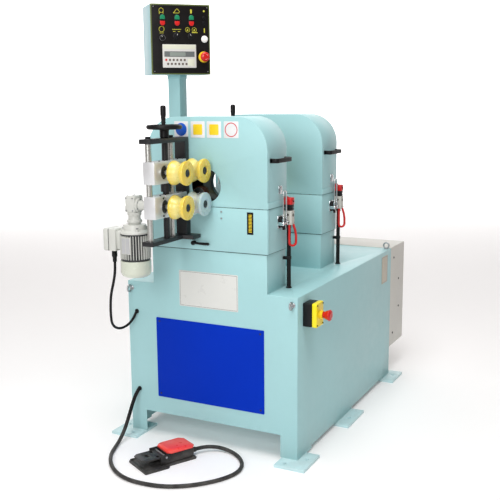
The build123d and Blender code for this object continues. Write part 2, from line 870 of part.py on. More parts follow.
turn = radians(control_turn)
box_right = Vector(cos(turn), sin(turn), 0)
box_out = Vector(sin(turn), -cos(turn), 0)
box_level = Plane(origin=(post_x, post_y, control_box_bottom), x_dir=box_right, z_dir=(0, 0, 1))
panel_centre = Vector(post_x, post_y, control_box_bottom + control_box_height / 2)
panel_plane = Plane(origin=panel_centre + box_out * (control_box_depth / 2), x_dir=box_right, z_dir=box_out)
with BuildPart() as control_box:
    with BuildSketch(box_level):
        Rectangle(control_box_width, control_box_depth)
    extrude(amount=control_box_height)
    fillet(control_box.edges().filter_by(Axis.Z), control_box_corner)
    with BuildSketch(panel_plane):
        Rectangle(control_panel_width - 2 * control_panel_lap, control_panel_height - 2 * control_panel_lap)
    extrude(amount=control_box_wall - control_box_depth, mode=Mode.SUBTRACT)
save(control_box.part, "control_box")

# Places of the controls on the panel, from its centre
panel_stop_spot = (102, -74)
panel_control_height = 7
double_buttons = ((-81, 81), (-16, 81), (48, 81))
double_button_size = (26, 54)
small_buttons = ((106, 92), (106, 72))
small_button_radius = 8
knobs = ((-82, 6), (-20, 14), (46, 14))
knob_radius = 15
panel_lamp = (107, 3)
panel_lamp_radius = 13
display_spot = (-8, -71)
display_size = (151, 100)
stop_ring_radius = 24
with BuildPart() as control_panel:
    with BuildSketch(panel_plane):
        Rectangle(control_panel_width, control_panel_height)
        with Locations(panel_stop_spot):
            Circle(stop_stem_radius + rod_gap, mode=Mode.SUBTRACT)
    extrude(amount=control_panel_thickness)
    with BuildSketch(panel_plane.offset(control_panel_thickness)):
        with Locations(panel_stop_spot):
            Circle(stop_ring_radius)
            Circle(stop_stem_radius + rod_gap, mode=Mode.SUBTRACT)
        with Locations(*double_buttons):
            Rectangle(*double_button_size)
        with Locations(*small_buttons):
            Circle(small_button_radius)
        with Locations(*knobs):
            Circle(knob_radius)
        with Locations(panel_lamp):
            Circle(panel_lamp_radius)
        with Locations(display_spot):
            Rectangle(*display_size)
    extrude(amount=panel_control_height)
save(control_panel.part, "control_panel")


def stop_cap(plane, collar_length, foot_radius, rim_radius, length):
    """Mushroom cap on its stem; the stem fills the hole that guides it."""
    cap_start = collar_length + stop_travel + stop_cap_gap
    with BuildPart() as cap:
        with BuildSketch(plane.offset(-stop_stem_inset)):
            Circle(stop_stem_radius)
        extrude(amount=stop_stem_inset + cap_start)
        with Locations(plane.offset(cap_start).location):
            Cone(foot_radius, rim_radius, length, align=(Align.CENTER, Align.CENTER, Align.MIN))
        outer = Axis(plane.origin, plane.z_dir)
        fillet(cap.edges().filter_by(GeomType.CIRCLE).sort_by(outer)[-1:], stop_cap_fillet)
    return cap.part


panel_stop_origin = panel_plane.from_local_coords(Vector(*panel_stop_spot, control_panel_thickness))
panel_stop_plane = Plane(origin=panel_stop_origin, x_dir=box_right, z_dir=box_out)
panel_cap = stop_cap(panel_stop_plane, stop_collar_length, stop_cap_foot_radius, stop_cap_radius,
                     stop_cap_length)
save(panel_cap, "panel_stop_button")

# Stop station on the right side near the front
stop_y = front_y + stop_box_place
with BuildPart() as stop_station:
    with BuildSketch(Plane.YZ.offset(half_width)):
        with Locations((stop_y, stop_box_height)):
            Rectangle(stop_box_width, stop_box_tall)
    extrude(amount=stop_box_back + stop_box_lid)
    with BuildSketch(Plane.YZ.offset(half_width + stop_box_back + stop_box_lid)):
        with Locations((stop_y, stop_box_height)):
            Circle(stop_collar_radius)
    extrude(amount=stop_bezel)
    with BuildSketch(Plane.YZ.offset(half_width + stop_box_back)):
        with Locations((stop_y, stop_box_height)):
            Circle(stop_stem_radius + rod_gap)
    extrude(amount=stop_box_lid + stop_bezel, mode=Mode.SUBTRACT)
save(stop_station.part, "stop_station")
side_stop_plane = Plane(origin=(half_width + stop_box_back + stop_box_lid, stop_y, stop_box_height),
                        x_dir=(0, 1, 0), z_dir=(1, 0, 0))
side_cap = stop_cap(side_stop_plane, stop_bezel, side_cap_foot_radius, side_cap_radius, side_cap_length)
save(side_cap, "side_stop_button")

# Hood latches and interlock switches on the right side of the lower housings
latch_x = head_half + latch_pivot_out
latch_pivot_height = latch_base_height - latch_pivot_drop
latch_half = latch_wire_width / 2
with BuildPart() as latch_bases:
    for head_front in head_fronts:
        y = head_front + latch_place
        with BuildSketch(Plane.YZ.offset(head_half)):
            with Locations((y, latch_base_height)):
                Rectangle(latch_wire_width + 2 * latch_ear, latch_base_tall)
        extrude(amount=latch_base_depth)
        for side in (-1, 1):
            with BuildSketch(Plane.XY.offset(latch_pivot_height - latch_block / 2)):
                with Locations((head_half + (latch_pivot_out + latch_block / 2) / 2,
                                y + side * (latch_half + latch_gap + (latch_ear - latch_gap) / 2))):
                    Rectangle(latch_pivot_out + latch_block / 2, latch_ear - latch_gap)
            extrude(amount=latch_block)
save(latch_bases.part, "latch_bases")

for number, head_front in enumerate(head_fronts, 1):
    with BuildPart() as latch:
        y = head_front + latch_place
        for side in (-1, 1):
            with BuildSketch(Plane.XY.offset(latch_pivot_height)):
                with Locations((latch_x, y + side * (latch_half - latch_wire_radius))):
                    Circle(latch_wire_radius)
            extrude(amount=latch_wire_top - latch_pivot_height)
        with BuildSketch(facing_front(y - latch_half)):
            with Locations((latch_x, latch_wire_top - latch_wire_radius)):
                Circle(latch_wire_radius)
        extrude(amount=-latch_wire_width)
        with BuildSketch(facing_front(y - latch_half)):
            with Locations((latch_x, latch_pivot_height)):
                Rectangle(latch_block, latch_block)
        extrude(amount=-latch_wire_width)
    save(latch.part, "hood_latch_" + str(number))

key_loop_inner = 2 * hose_radius + key_loop_clearance
with BuildPart() as interlock_switches:
    for head_front in head_fronts:
        y = head_front + switch_place
        with BuildSketch(Plane.XY.offset(switch_bottom)):
            with Locations((head_half + switch_depth / 2, y)):
                Rectangle(switch_depth, switch_width)
        extrude(amount=switch_head_top - switch_bottom)
        with BuildSketch(Plane.YZ.offset(head_half + switch_depth - key_loop_thickness)):
            with Locations((y, switch_bottom - key_loop_drop / 2)):
                Rectangle(switch_width, key_loop_drop)
            with Locations((y, switch_bottom - key_loop_drop / 2 + key_loop_thickness)):
                Rectangle(key_loop_inner, key_loop_drop, mode=Mode.SUBTRACT)
        extrude(amount=key_loop_thickness)
save(interlock_switches.part, "interlock_switches")

with BuildPart() as interlock_hoses:
    for head_front in head_fronts:
        with BuildSketch(Plane.XY.offset(base_top - sheet)):
            with Locations((hose_x, head_front + switch_place)):
                Circle(hose_radius)
        extrude(amount=switch_bottom - base_top + sheet)
save(interlock_hoses.part, "interlock_hoses")

# Electrical cabinet on the rear panel, with a screwed cover on its right end
cabinet_height = cabinet_top - cabinet_bottom
cabinet_middle_height = (cabinet_top + cabinet_bottom) / 2
cabinet_length = base_width - 2 * cabinet_cover_thickness
with BuildPart() as electrical_cabinet:
    with BuildSketch(Plane.YZ.offset(-cabinet_length / 2)):
        with Locations((rear_y + cabinet_depth / 2, cabinet_middle_height)):
            Rectangle(cabinet_depth, cabinet_height)
            Rectangle(cabinet_depth - 2 * cabinet_wall, cabinet_height - 2 * cabinet_wall, mode=Mode.SUBTRACT)
    extrude(amount=cabinet_length)
save(electrical_cabinet.part, "electrical_cabinet")

with BuildPart() as cabinet_covers:
    for side in (-1, 1):
        with BuildSketch(Plane.YZ.offset(side * (half_width - cabinet_cover_thickness))):
            with Locations((rear_y + cabinet_depth / 2, cabinet_middle_height)):
                Rectangle(cabinet_depth, cabinet_height)
        extrude(amount=side * cabinet_cover_thickness)
save(cabinet_covers.part, "cabinet_covers")

# Plates on the front, and a small one on the right side, all without lettering
with BuildPart() as cover_plate:
    with BuildSketch(facing_front(front_y)):
        with Locations(((cover_left + cover_right) / 2, (cover_bottom + cover_top) / 2)):
            Rectangle(cover_right - cover_left, cover_top - cover_bottom)
    extrude(amount=cover_thickness)
save(cover_plate.part, "cover_plate")

side_plate_front = 1062
side_plate_back = 1154
side_plate_bottom = 524
side_plate_top = 663
with BuildPart() as blank_plates:
    with BuildSketch(facing_front(front_y)):
        with Locations(((name_left + name_right) / 2, (name_bottom + name_top) / 2)):
            Rectangle(name_right - name_left, name_top - name_bottom)
    extrude(amount=plate_thickness)
    with BuildSketch(Plane.YZ.offset(half_width)):
        with Locations((front_y + (side_plate_front + side_plate_back) / 2,
                        (side_plate_bottom + side_plate_top) / 2)):
            Rectangle(side_plate_back - side_plate_front, side_plate_top - side_plate_bottom)
    extrude(amount=plate_thickness)
save(blank_plates.part, "blank_plates")

# Lifting eyes at the four upper corners
with BuildPart() as lifting_eyes:
    eye_reach = eye_ring_radius + eye_wire_radius
    rear_eye_y = rear_y - rear_eye_inset
    for side in (-1, 1):
        front_shank = Plane(origin=(side * eye_x, front_y, eye_height), z_dir=(0, -1, 0))
        front_ring = Plane(origin=(side * eye_x, front_y - eye_reach, eye_height), z_dir=(1, 0, 0))
        rear_shank = Plane(origin=(side * eye_x, rear_eye_y, base_top), z_dir=(0, 0, 1))
        rear_ring = Plane(origin=(side * eye_x, rear_eye_y, base_top + eye_reach), z_dir=(0, 1, 0))
        for shank, ring in ((front_shank, front_ring), (rear_shank, rear_ring)):
            with Locations(ring):
                Torus(eye_ring_radius, eye_wire_radius)
            with BuildSketch(shank):
                Circle(eye_shank_radius)
            extrude(amount=2 * eye_wire_radius)
save(lifting_eyes.part, "lifting_eyes")

# Foot switch: base, cover and treadle, in a frame that lies along its length from the toe end
pedal_angle = radians(pedal_turn)
pedal_right = Vector(cos(pedal_angle), sin(pedal_angle), 0)
pedal_forward = Vector(-sin(pedal_angle), cos(pedal_angle), 0)
pedal_centre = Vector(pedal_x, front_y - pedal_place, 0)
pedal_toe = pedal_centre - pedal_forward * (pedal_length / 2)
pedal_floor = Plane(origin=pedal_toe, x_dir=pedal_right, z_dir=(0, 0, 1))
pedal_body_length = pedal_length - pedal_body_start - pedal_plate_lip
pedal_body_middle = pedal_body_start + pedal_body_length / 2
with BuildPart() as foot_switch_base:
    with BuildSketch(pedal_floor):
        with Locations((0, pedal_toe_length / 2)):
            Rectangle(pedal_toe_width, pedal_toe_length)
        with Locations((0, pedal_length / 2)):
            Rectangle(pedal_rear_width, pedal_length)
    extrude(amount=pedal_plate)
    with BuildSketch(pedal_floor.offset(pedal_plate)):
        with Locations((0, pedal_body_middle)):
            Rectangle(pedal_body_width, pedal_body_length)
    extrude(amount=pedal_body_height - pedal_plate)
    for side in (-1, 1):
        with BuildSketch(pedal_floor.offset(pedal_plate)):
            with Locations((side * (treadle_width / 2 + treadle_gap + bracket_thickness / 2),
                            pedal_body_start - bracket_length / 2)):
                Rectangle(bracket_thickness, bracket_length)
        extrude(amount=pedal_body_height - pedal_plate)
    # Strain relief of the cord on the rear face
    relief_foot = pedal_toe + pedal_forward * (pedal_length - pedal_plate_lip)
    relief_start = relief_foot + pedal_right * relief_side + Vector(0, 0, relief_height)
    with BuildSketch(Plane(origin=relief_start, z_dir=pedal_forward)):
        Circle(relief_radius)
    extrude(amount=relief_length)
relief_end = relief_start + pedal_forward * relief_length
save(foot_switch_base.part, "foot_switch_base")

with BuildPart() as foot_switch_cover:
    with BuildSketch(pedal_floor.offset(pedal_body_height)) as lid:
        with Locations((0, pedal_body_middle)):
            Rectangle(pedal_body_width + 2 * pedal_cover_overhang, pedal_body_length + pedal_cover_overhang)
        chamfer(lid.vertices(), pedal_cover_corner)
    extrude(amount=pedal_cover_height)
    chamfer(foot_switch_cover.faces().sort_by(Axis.Z)[-1].edges(), pedal_cover_bevel)
save(foot_switch_cover.part, "foot_switch_cover")

treadle_side = Plane(origin=pedal_toe, x_dir=pedal_forward, z_dir=pedal_forward.cross(Vector(0, 0, 1)))
pivot_place = pedal_body_start - treadle_setback
with BuildPart() as foot_pedal:
    with BuildSketch(treadle_side):
        with Locations((pivot_place - treadle_length / 2, treadle_pivot_height)):
            Rectangle(treadle_length, treadle_thickness)
    extrude(amount=treadle_width / 2, both=True)
    with BuildSketch(treadle_side):
        with Locations((pivot_place, treadle_pivot_height)):
            Circle(treadle_pin_radius)
    extrude(amount=treadle_width / 2 + treadle_gap - treadle_pin_gap, both=True)
save(foot_pedal.part, "foot_pedal")


def cord(name, points, radius):
    """Tube of straight runs joined by tangent arcs, each as large as its two runs allow."""
    spots = [Vector(*p) for p in points]
    radii = []
    for before, here, after in zip(spots, spots[1:], spots[2:]):
        run_in = here - before
        run_out = after - here
        half_turn = radians(run_in.get_angle(run_out)) / 2
        radii.append(arc_share * min(run_in.length, run_out.length) / tan(half_turn))
    print(name, "radii", [round(r) for r in radii])
    print(name, "runs", [round((b - a).length) for a, b in zip(spots, spots[1:])])
    with BuildPart() as made:
        with BuildLine():
            route = FilletPolyline(*spots, radius=radii)
        with BuildSketch(Plane(origin=route @ 0, z_dir=route % 0)):
            Circle(radius)
        sweep(path=route)
    section = pi * radius ** 2
    print(name, "volume ratio", round(made.part.volume / (section * route.length), 4),
          "length", round(route.length))
    save(made.part, name)


motor_cord_exit = (gland_x, unit_fronts[0] - front_roller_place, terminal_box_bottom - gland_length)
motor_cord_route = [
    motor_cord_exit,
    (gland_x, front_y - front_roller_place, 768),
    (gland_x - 16, front_y - 191, 716),
    (gland_x - 40, front_y - 178, 664),
    (gland_x - 58, front_y - 160, 612),
    (gland_x - 74, front_y - 139, 562),
    (gland_x - 78, front_y - 129, 523),
    (gland_x - 76, front_y - 105, 498),
    (gland_x - 69, front_y - 72, 489),
    (gland_x - 58, front_y - 39, 498),
    (gland_x - 46, front_y - 15, 522),
    (motor_cord_entry[0], front_y - front_gland_length, motor_cord_entry[2]),
]
cord("motor_cord", motor_cord_route, motor_cord_radius)

foot_cord_route = [
    (foot_cord_entry[0], front_y - front_gland_length, foot_cord_entry[2]),
    (-359, front_y - 26, 186),
    (-362, front_y - 52, 146),
    (-361, front_y - 84, 98),
    (-360, front_y - 118, 52),
    (-361, front_y - 154, 18),
    (-348, front_y - 208, foot_cord_radius),
    (-322, front_y - 274, foot_cord_radius),
    (-272, front_y - 344, foot_cord_radius),
    (-203, front_y - 402, foot_cord_radius),
    (-126, front_y - 434, foot_cord_radius),
    (-45, front_y - 436, foot_cord_radius),
    (30, front_y - 424, foot_cord_radius),
    (98, front_y - 388, foot_cord_radius),
    (154, front_y - 338, foot_cord_radius),
    (201, front_y - 276, foot_cord_radius),
    (229, front_y - 204, foot_cord_radius),
    (222, front_y - 140, foot_cord_radius),
    (190, front_y - 86, foot_cord_radius),
    (142, front_y - 46, 9),
    (90, front_y - 30, 13),
    (44, front_y - 38, 19),
    tuple(relief_end + pedal_forward * 38),
    tuple(relief_end),
]
cord("foot_switch_cord", foot_cord_route, foot_cord_radius)
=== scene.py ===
import math
import bpy
import bmesh
from mathutils import Matrix, Vector


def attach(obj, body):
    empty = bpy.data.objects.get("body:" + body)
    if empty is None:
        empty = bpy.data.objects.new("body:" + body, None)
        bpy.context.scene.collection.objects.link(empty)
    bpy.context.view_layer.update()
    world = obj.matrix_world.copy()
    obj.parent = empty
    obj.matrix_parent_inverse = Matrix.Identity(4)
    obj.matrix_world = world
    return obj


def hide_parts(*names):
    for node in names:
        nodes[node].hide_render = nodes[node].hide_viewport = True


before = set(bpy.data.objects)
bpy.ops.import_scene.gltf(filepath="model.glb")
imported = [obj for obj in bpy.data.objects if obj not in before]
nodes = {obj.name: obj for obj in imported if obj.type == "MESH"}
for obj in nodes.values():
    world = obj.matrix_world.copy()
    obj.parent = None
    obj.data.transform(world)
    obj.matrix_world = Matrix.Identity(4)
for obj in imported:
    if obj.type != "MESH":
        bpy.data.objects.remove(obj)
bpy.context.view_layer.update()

scene = bpy.context.scene
scene.view_settings.view_transform = "Standard"

headFronts = (-0.61, -0.046)
unitFronts = (-0.607, -0.043)
baseFront = -0.607
tubeHeight = 1.11


# Camera, light and floor

viewpoint = {
    "place": (1.64509, -3.47171, 1.43846),
    "yaw": 26.87,      # degrees to the left of straight back
    "pitch": 10.19,    # degrees down
    "roll": -0.48,
    "lens": 59.19,
}


def aimCamera(view):
    yaw, pitch, roll = (math.radians(view[k]) for k in ("yaw", "pitch", "roll"))
    forward = Vector((-math.sin(yaw) * math.cos(pitch), math.cos(yaw) * math.cos(pitch), -math.sin(pitch)))
    level = Vector((math.cos(yaw), math.sin(yaw), 0))
    above = level.cross(forward)
    right = level * math.cos(roll) + above * math.sin(roll)
    up = right.cross(forward)
    turn = Matrix((right, up, -forward)).transposed().to_4x4()
    data = bpy.data.cameras.new("camera")
    data.lens = view["lens"]
    data.sensor_width = 36
    data.clip_end = 60
    camera = bpy.data.objects.new("camera", data)
    camera.matrix_world = Matrix.Translation(view["place"]) @ turn
    scene.collection.objects.link(camera)
    scene.camera = camera


aimCamera(viewpoint)

studio = {
    "worldTint": (1.0, 0.9, 0.87),
    "worldStrength": 0.3,
    "floorTint": (0.93, 0.93, 0.93),
    "floorGlow": 0.1,
    "wallGlow": 1.02, "wallRadius": 8.0, "wallHeight": 9.0,
    # place, aimed at, size, power
    "softboxes": (
        ((0.7, -5.0, 2.4), (0.0, 0.0, 0.8), 2.2, 92),
        ((0.6, -1.5, 4.4), (0.1, 0.1, 0.7), 2.6, 118),
    ),
}


def hangSoftboxes(kit):
    for number, (place, aim, size, power) in enumerate(kit["softboxes"], 1):
        data = bpy.data.lights.new("softbox%d" % number, "AREA")
        data.shape = "SQUARE"
        data.size = size
        data.energy = power
        lamp = bpy.data.objects.new("softbox%d" % number, data)
        lamp.location = place
        lamp.rotation_euler = (Vector(aim) - Vector(place)).to_track_quat("-Z", "Y").to_euler()
        scene.collection.objects.link(lamp)
    world = bpy.data.worlds.new("studioWorld")
    world.use_nodes = True
    backdrop = world.node_tree.nodes["Background"]
    backdrop.inputs["Color"].default_value = (*kit["worldTint"], 1)
    backdrop.inputs["Strength"].default_value = kit["worldStrength"]
    scene.world = world


hangSoftboxes(studio)
print("camera and light ready")


# Node groups that several finishes share

# Node groups and trees: inputs and outputs are given by name, kind and value
def newTree(kind, name, inputs, outputs):
    tree = bpy.data.node_groups.new(name, kind + "NodeTree")
    for label, socketKind, value in inputs:
        socket = tree.interface.new_socket(label, in_out="INPUT", socket_type="NodeSocket" + socketKind)
        if value is not None:
            socket.default_value = value
    for label, socketKind in outputs:
        tree.interface.new_socket(label, in_out="OUTPUT", socket_type="NodeSocket" + socketKind)
    return tree, tree.nodes.new("NodeGroupInput").outputs, tree.nodes.new("NodeGroupOutput").inputs


# Wires a socket to an input, or sets the input to a plain value
def feed(tree, value, socket):
    if isinstance(value, bpy.types.NodeSocket):
        tree.links.new(value, socket)
    elif value is not None:
        socket.default_value = value


# The settings are the node's own, the feeds go to its inputs by name or number
def addNode(tree, kind, feeds=None, **settings):
    node = tree.nodes.new(kind)
    for key, value in settings.items():
        setattr(node, key, value)
    for label, value in (feeds or {}).items():
        feed(tree, value, node.inputs[label])
    return node


def mixColours(tree, factor, first, second):
    return addNode(tree, "ShaderNodeMix", {0: factor, 6: first, 7: second}, data_type="RGBA").outputs[2]


def sums(tree, operation, first, second):
    return addNode(tree, "ShaderNodeMath", {0: first, 1: second}, operation=operation).outputs[0]


def remap(tree, value, low, high, newLow, newHigh):
    feeds = {"Value": value, "From Min": low, "From Max": high, "To Min": newLow, "To Max": newHigh}
    return addNode(tree, "ShaderNodeMapRange", feeds, clamp=True).outputs["Result"]


def objectPlace(tree):
    return addNode(tree, "ShaderNodeTexCoord").outputs["Object"]


def noiseField(tree, place, scale, detail, rough):
    feeds = {"Vector": place, "Scale": scale, "Detail": detail, "Roughness": rough}
    return addNode(tree, "ShaderNodeTexNoise", feeds).outputs["Fac"]


# Slow change of tone over a surface, and workshop dust that gathers near the floor
def buildShopTone():
    tree, start, end = newTree("Shader", "shopTone",
            (("Colour", "Color", (0.5, 0.5, 0.5, 1)), ("Dust", "Color", (0.45, 0.43, 0.4, 1)),
            ("Mottle", "Float", 0.05), ("Dust Amount", "Float", 0.2), ("Dust Height", "Float", 0.12)),
            (("Colour", "Color"), ("Dust Mask", "Float")))
    place = objectPlace(tree)
    slow = sums(tree, "MULTIPLY", noiseField(tree, place, 3.2, 4.0, 0.55), 0.7)
    quick = sums(tree, "MULTIPLY", noiseField(tree, place, 38.0, 3.0, 0.6), 0.3)
    tone = sums(tree, "SUBTRACT", sums(tree, "ADD", slow, quick), 0.5)
    gain = sums(tree, "ADD", sums(tree, "MULTIPLY", tone, sums(tree, "MULTIPLY", start["Mottle"], 4.0)),
            1.0)
    toned = addNode(tree, "ShaderNodeVectorMath", {0: start["Colour"], "Scale": gain}, operation="SCALE")
    height = addNode(tree, "ShaderNodeSeparateXYZ", {0: place})
    low = remap(tree, height.outputs["Z"], 0.0, start["Dust Height"], 1.0, 0.0)
    patch = remap(tree, noiseField(tree, place, 14.0, 5.0, 0.65), 0.35, 0.7, 0.2, 1.0)
    dust = sums(tree, "MULTIPLY", sums(tree, "MULTIPLY", low, patch), start["Dust Amount"])
    feed(tree, mixColours(tree, dust, toned.outputs[0], start["Dust"]), end["Colour"])
    feed(tree, dust, end["Dust Mask"])
    return tree


# Fine relief: orange peel, casting skin or moulded grain, by scale and depth
def buildSkinRelief():
    tree, start, end = newTree("Shader", "skinRelief",
            (("Scale", "Float", 300.0), ("Coarse Share", "Float", 0.3)),
            (("Height", "Float"), ("Rough Mask", "Float")))
    place = objectPlace(tree)
    fine = noiseField(tree, place, start["Scale"], 2.0, 0.5)
    coarse = noiseField(tree, place, sums(tree, "MULTIPLY", start["Scale"], 0.17), 3.0, 0.55)
    both = addNode(tree, "ShaderNodeMix", {0: start["Coarse Share"], 2: fine, 3: coarse}, data_type="FLOAT")
    feed(tree, both.outputs[0], end["Height"])
    feed(tree, noiseField(tree, place, 22.0, 4.0, 0.6), end["Rough Mask"])
    return tree


# Fine parallel marks left by a cutter, belt or lathe; the stretch is small along the marks
def buildToolMarks():
    tree, start, end = newTree("Shader", "toolMarks",
            (("Stretch", "Vector", (1.0, 1.0, 1.0)), ("Scale", "Float", 900.0)),
            (("Height", "Float"), ("Streak", "Float")))
    scaled = addNode(tree, "ShaderNodeVectorMath", {0: objectPlace(tree), 1: start["Stretch"]},
            operation="MULTIPLY")
    place = scaled.outputs[0]
    feed(tree, noiseField(tree, place, start["Scale"], 2.0, 0.5), end["Height"])
    feed(tree, noiseField(tree, place, sums(tree, "MULTIPLY", start["Scale"], 0.2), 3.0, 0.6),
            end["Streak"])
    return tree


shopTone = buildShopTone()
skinRelief = buildSkinRelief()
toolMarks = buildToolMarks()


def placeGroup(tree, group, **values):
    feeds = {label.replace("_", " "): value for label, value in values.items()}
    return addNode(tree, "ShaderNodeGroup", feeds, node_tree=group).outputs


finishes = {}


# A screen colour as the shader counts it; a colour of four values is kept
def srgb(colour):
    if len(colour) == 4:
        return colour
    return tuple(((c / 255 + 0.055) / 1.055) ** 2.4 if c > 10 else c / 255 / 12.92 for c in colour) + (1.0,)


def startFinish(name, roughness, metallic=0.0, **shaderValues):
    finishes[name] = bpy.data.materials.new(name)
    finishes[name].use_nodes = True
    tree = finishes[name].node_tree
    shader = tree.nodes["Principled BSDF"].inputs
    shader["Roughness"].default_value = roughness
    shader["Metallic"].default_value = metallic
    for label, value in shaderValues.items():
        shader[label.replace("_", " ")].default_value = value
    return tree, shader


# Tone, uneven gloss and fine relief on a finish's shader
def dressShader(tree, shader, tone, gloss, height, depth):
    feed(tree, tone["Colour"], shader["Base Color"])
    feed(tree, gloss, shader["Roughness"])
    bump = addNode(tree, "ShaderNodeBump", {"Distance": depth, "Strength": 1.0, "Height": height})
    feed(tree, bump.outputs["Normal"], shader["Normal"])


# Sprayed and stoved paint: orange peel, a little dust low down
def enamel(name, colour, roughness=0.38, peelScale=260.0, peelDepth=0.00012, mottle=0.03, dust=0.25,
        coat=0.0, gloss=0.5):
    tree, shader = startFinish(name, roughness, Coat_Weight=coat, Coat_Roughness=0.12,
            Specular_IOR_Level=gloss)
    tone = placeGroup(tree, shopTone, Colour=srgb(colour), Mottle=mottle, Dust_Amount=dust)
    skin = placeGroup(tree, skinRelief, Scale=peelScale, Coarse_Share=0.35)
    uneven = remap(tree, skin["Rough Mask"], 0.3, 0.7, roughness - 0.05, roughness + 0.06)
    dusty = sums(tree, "ADD", uneven, sums(tree, "MULTIPLY", tone["Dust Mask"], 0.5))
    dressShader(tree, shader, tone, dusty, skin["Height"], peelDepth)


# Bare machined or plated metal with the marks of its tool
def machined(name, colour, roughness=0.3, stretch=(1.0, 1.0, 1.0), depth=0.00005, mottle=0.05,
        metallic=1.0):
    tree, shader = startFinish(name, roughness, metallic)
    tone = placeGroup(tree, shopTone, Colour=srgb(colour), Mottle=mottle, Dust_Amount=0.1)
    marks = placeGroup(tree, toolMarks, Stretch=stretch, Scale=900.0)
    uneven = remap(tree, marks["Streak"], 0.3, 0.7, roughness - 0.07, roughness + 0.1)
    dressShader(tree, shader, tone, uneven, marks["Height"], depth)


# Moulded plastic or rubber with a fine grain
def moulded(name, colour, roughness=0.45, grainScale=900.0, grainDepth=0.00008, mottle=0.04, dust=0.2,
        coarse=0.2, **shaderValues):
    tree, shader = startFinish(name, roughness, **shaderValues)
    tone = placeGroup(tree, shopTone, Colour=srgb(colour), Mottle=mottle, Dust_Amount=dust)
    skin = placeGroup(tree, skinRelief, Scale=grainScale, Coarse_Share=coarse)
    uneven = remap(tree, skin["Rough Mask"], 0.3, 0.7, roughness - 0.06, roughness + 0.08)
    dressShader(tree, shader, tone, uneven, skin["Height"], grainDepth)


# Cast polyurethane: clear in the thin waist, deep in the two flanges of a roller
def urethane(name, flange, waist, roughness=0.28):
    tree, shader = startFinish(name, roughness, Subsurface_Weight=0.45, Subsurface_Scale=0.02,
            Subsurface_Radius=(1.0, 0.8, 0.4), Coat_Weight=0.3, Coat_Roughness=0.2)
    parts = addNode(tree, "ShaderNodeSeparateXYZ", {"Vector": objectPlace(tree)})
    away = sums(tree, "ABSOLUTE", parts.outputs["X"], 0.0)
    depth = mixColours(tree, remap(tree, away, 0.008, 0.031, 0.0, 1.0), srgb(waist), srgb(flange))
    tone = placeGroup(tree, shopTone, Colour=depth, Mottle=0.05, Dust_Amount=0.1)
    skin = placeGroup(tree, skinRelief, Scale=240.0, Coarse_Share=0.3)
    uneven = remap(tree, skin["Rough Mask"], 0.3, 0.7, roughness - 0.06, roughness + 0.08)
    dressShader(tree, shader, tone, uneven, skin["Height"], 0.00008)


enamel("machinePaint", (164, 208, 211), gloss=0.3)
enamel("blueSheet", (0, 48, 180), roughness=0.5, mottle=0.05, gloss=0.06)
enamel("whitePlate", (232, 234, 236), roughness=0.3, peelDepth=0.00004)
enamel("cabinetPaint", (206, 205, 198), roughness=0.45, peelScale=420.0)
machined("steel", (176, 178, 180), roughness=0.34)
machined("chrome", (226, 228, 230), roughness=0.1, depth=0.00001, mottle=0.01)
enamel("blackSteel", (30, 31, 34), roughness=0.36, peelScale=420.0, mottle=0.08)
moulded("blackPlastic", (17, 17, 19), roughness=0.4, Specular_IOR_Level=0.25)
machined("aluminium", (226, 228, 230), roughness=0.42, stretch=(1.0, 0.06, 1.0), mottle=0.05, metallic=0.55)
enamel("motorGrey", (206, 208, 202), roughness=0.34, peelScale=520.0, peelDepth=0.00025, mottle=0.06)
urethane("yellowPolyurethane", (230, 202, 78), (230, 218, 132))
urethane("greyPolyurethane", (176, 198, 202), (206, 214, 210))
moulded("controlBlack", (17, 15, 15), roughness=0.34, grainScale=1400.0, grainDepth=0.00003,
        Specular_IOR_Level=0.25)
moulded("safetyYellow", (238, 200, 20), roughness=0.36, grainDepth=0.00004)
moulded("safetyRed", (200, 24, 22), roughness=0.32, grainDepth=0.00004)
moulded("beltAbrasive", (120, 74, 52), roughness=0.85, grainScale=1600.0, grainDepth=0.0005, mottle=0.12,
        coarse=0.1)
moulded("cordRubber", (15, 15, 16), roughness=0.55, grainScale=700.0, grainDepth=0.00012,
        Specular_IOR_Level=0.25)
enamel("plateLine", (70, 74, 80), roughness=0.5, mottle=0.02)
enamel("signBlue", (20, 90, 200), roughness=0.32, mottle=0.02)
enamel("signYellow", (244, 212, 40), roughness=0.32, mottle=0.02)
enamel("signRed", (206, 60, 70), roughness=0.32, mottle=0.02)
enamel("cowlSilver", (206, 212, 196), roughness=0.26, mottle=0.05, dust=0.0, coat=0.6)
# The machine's turquoise made paler for the foot plates: painted top light on their upward faces
enamel("footPaint", (196, 230, 234))
enamel("nameWhite", (216, 218, 214), roughness=0.3, peelDepth=0.00004, dust=0.0)
machined("groundSteel", (206, 208, 204), roughness=0.3, depth=0.000002, mottle=0.02)
# seamShadow is painted shadow: the dark line under each head housing
enamel("seamShadow", (62, 84, 86), roughness=0.6, mottle=0.1)
enamel("labelBeige", (196, 188, 172), roughness=0.4, mottle=0.06)
enamel("rimOlive", (92, 104, 52), roughness=0.5, mottle=0.1, dust=0.0)
moulded("stopYellow", (246, 226, 10), roughness=0.34, grainDepth=0.00004)
# motorShadow is painted shade: the core between the motor's fins, the fin ends and the terminal box seams
enamel("motorShadow", (52, 54, 56), roughness=0.6, mottle=0.1)
machined("ratingSilver", (198, 200, 202), roughness=0.42, metallic=0.4)
enamel("boxPaint", (178, 216, 222), roughness=0.36, mottle=0.02, dust=0.0)
moulded("switchGrey", (196, 196, 188), roughness=0.45)
moulded("buttonGreen", (18, 128, 88), roughness=0.3, grainDepth=0.00003)
moulded("lampWhite", (240, 238, 234), roughness=0.25, grainDepth=0.00002)
moulded("markYellow", (196, 190, 60), roughness=0.4, grainDepth=0.00002)
moulded("fasciaGrey", (208, 206, 202), roughness=0.4, grainDepth=0.00003)
moulded("fasciaTint", (214, 214, 196), roughness=0.4, grainDepth=0.00003)
moulded("windowGrey", (104, 108, 108), roughness=0.2, grainDepth=0.00001)
moulded("windowPale", (136, 144, 138), roughness=0.2, grainDepth=0.00001)
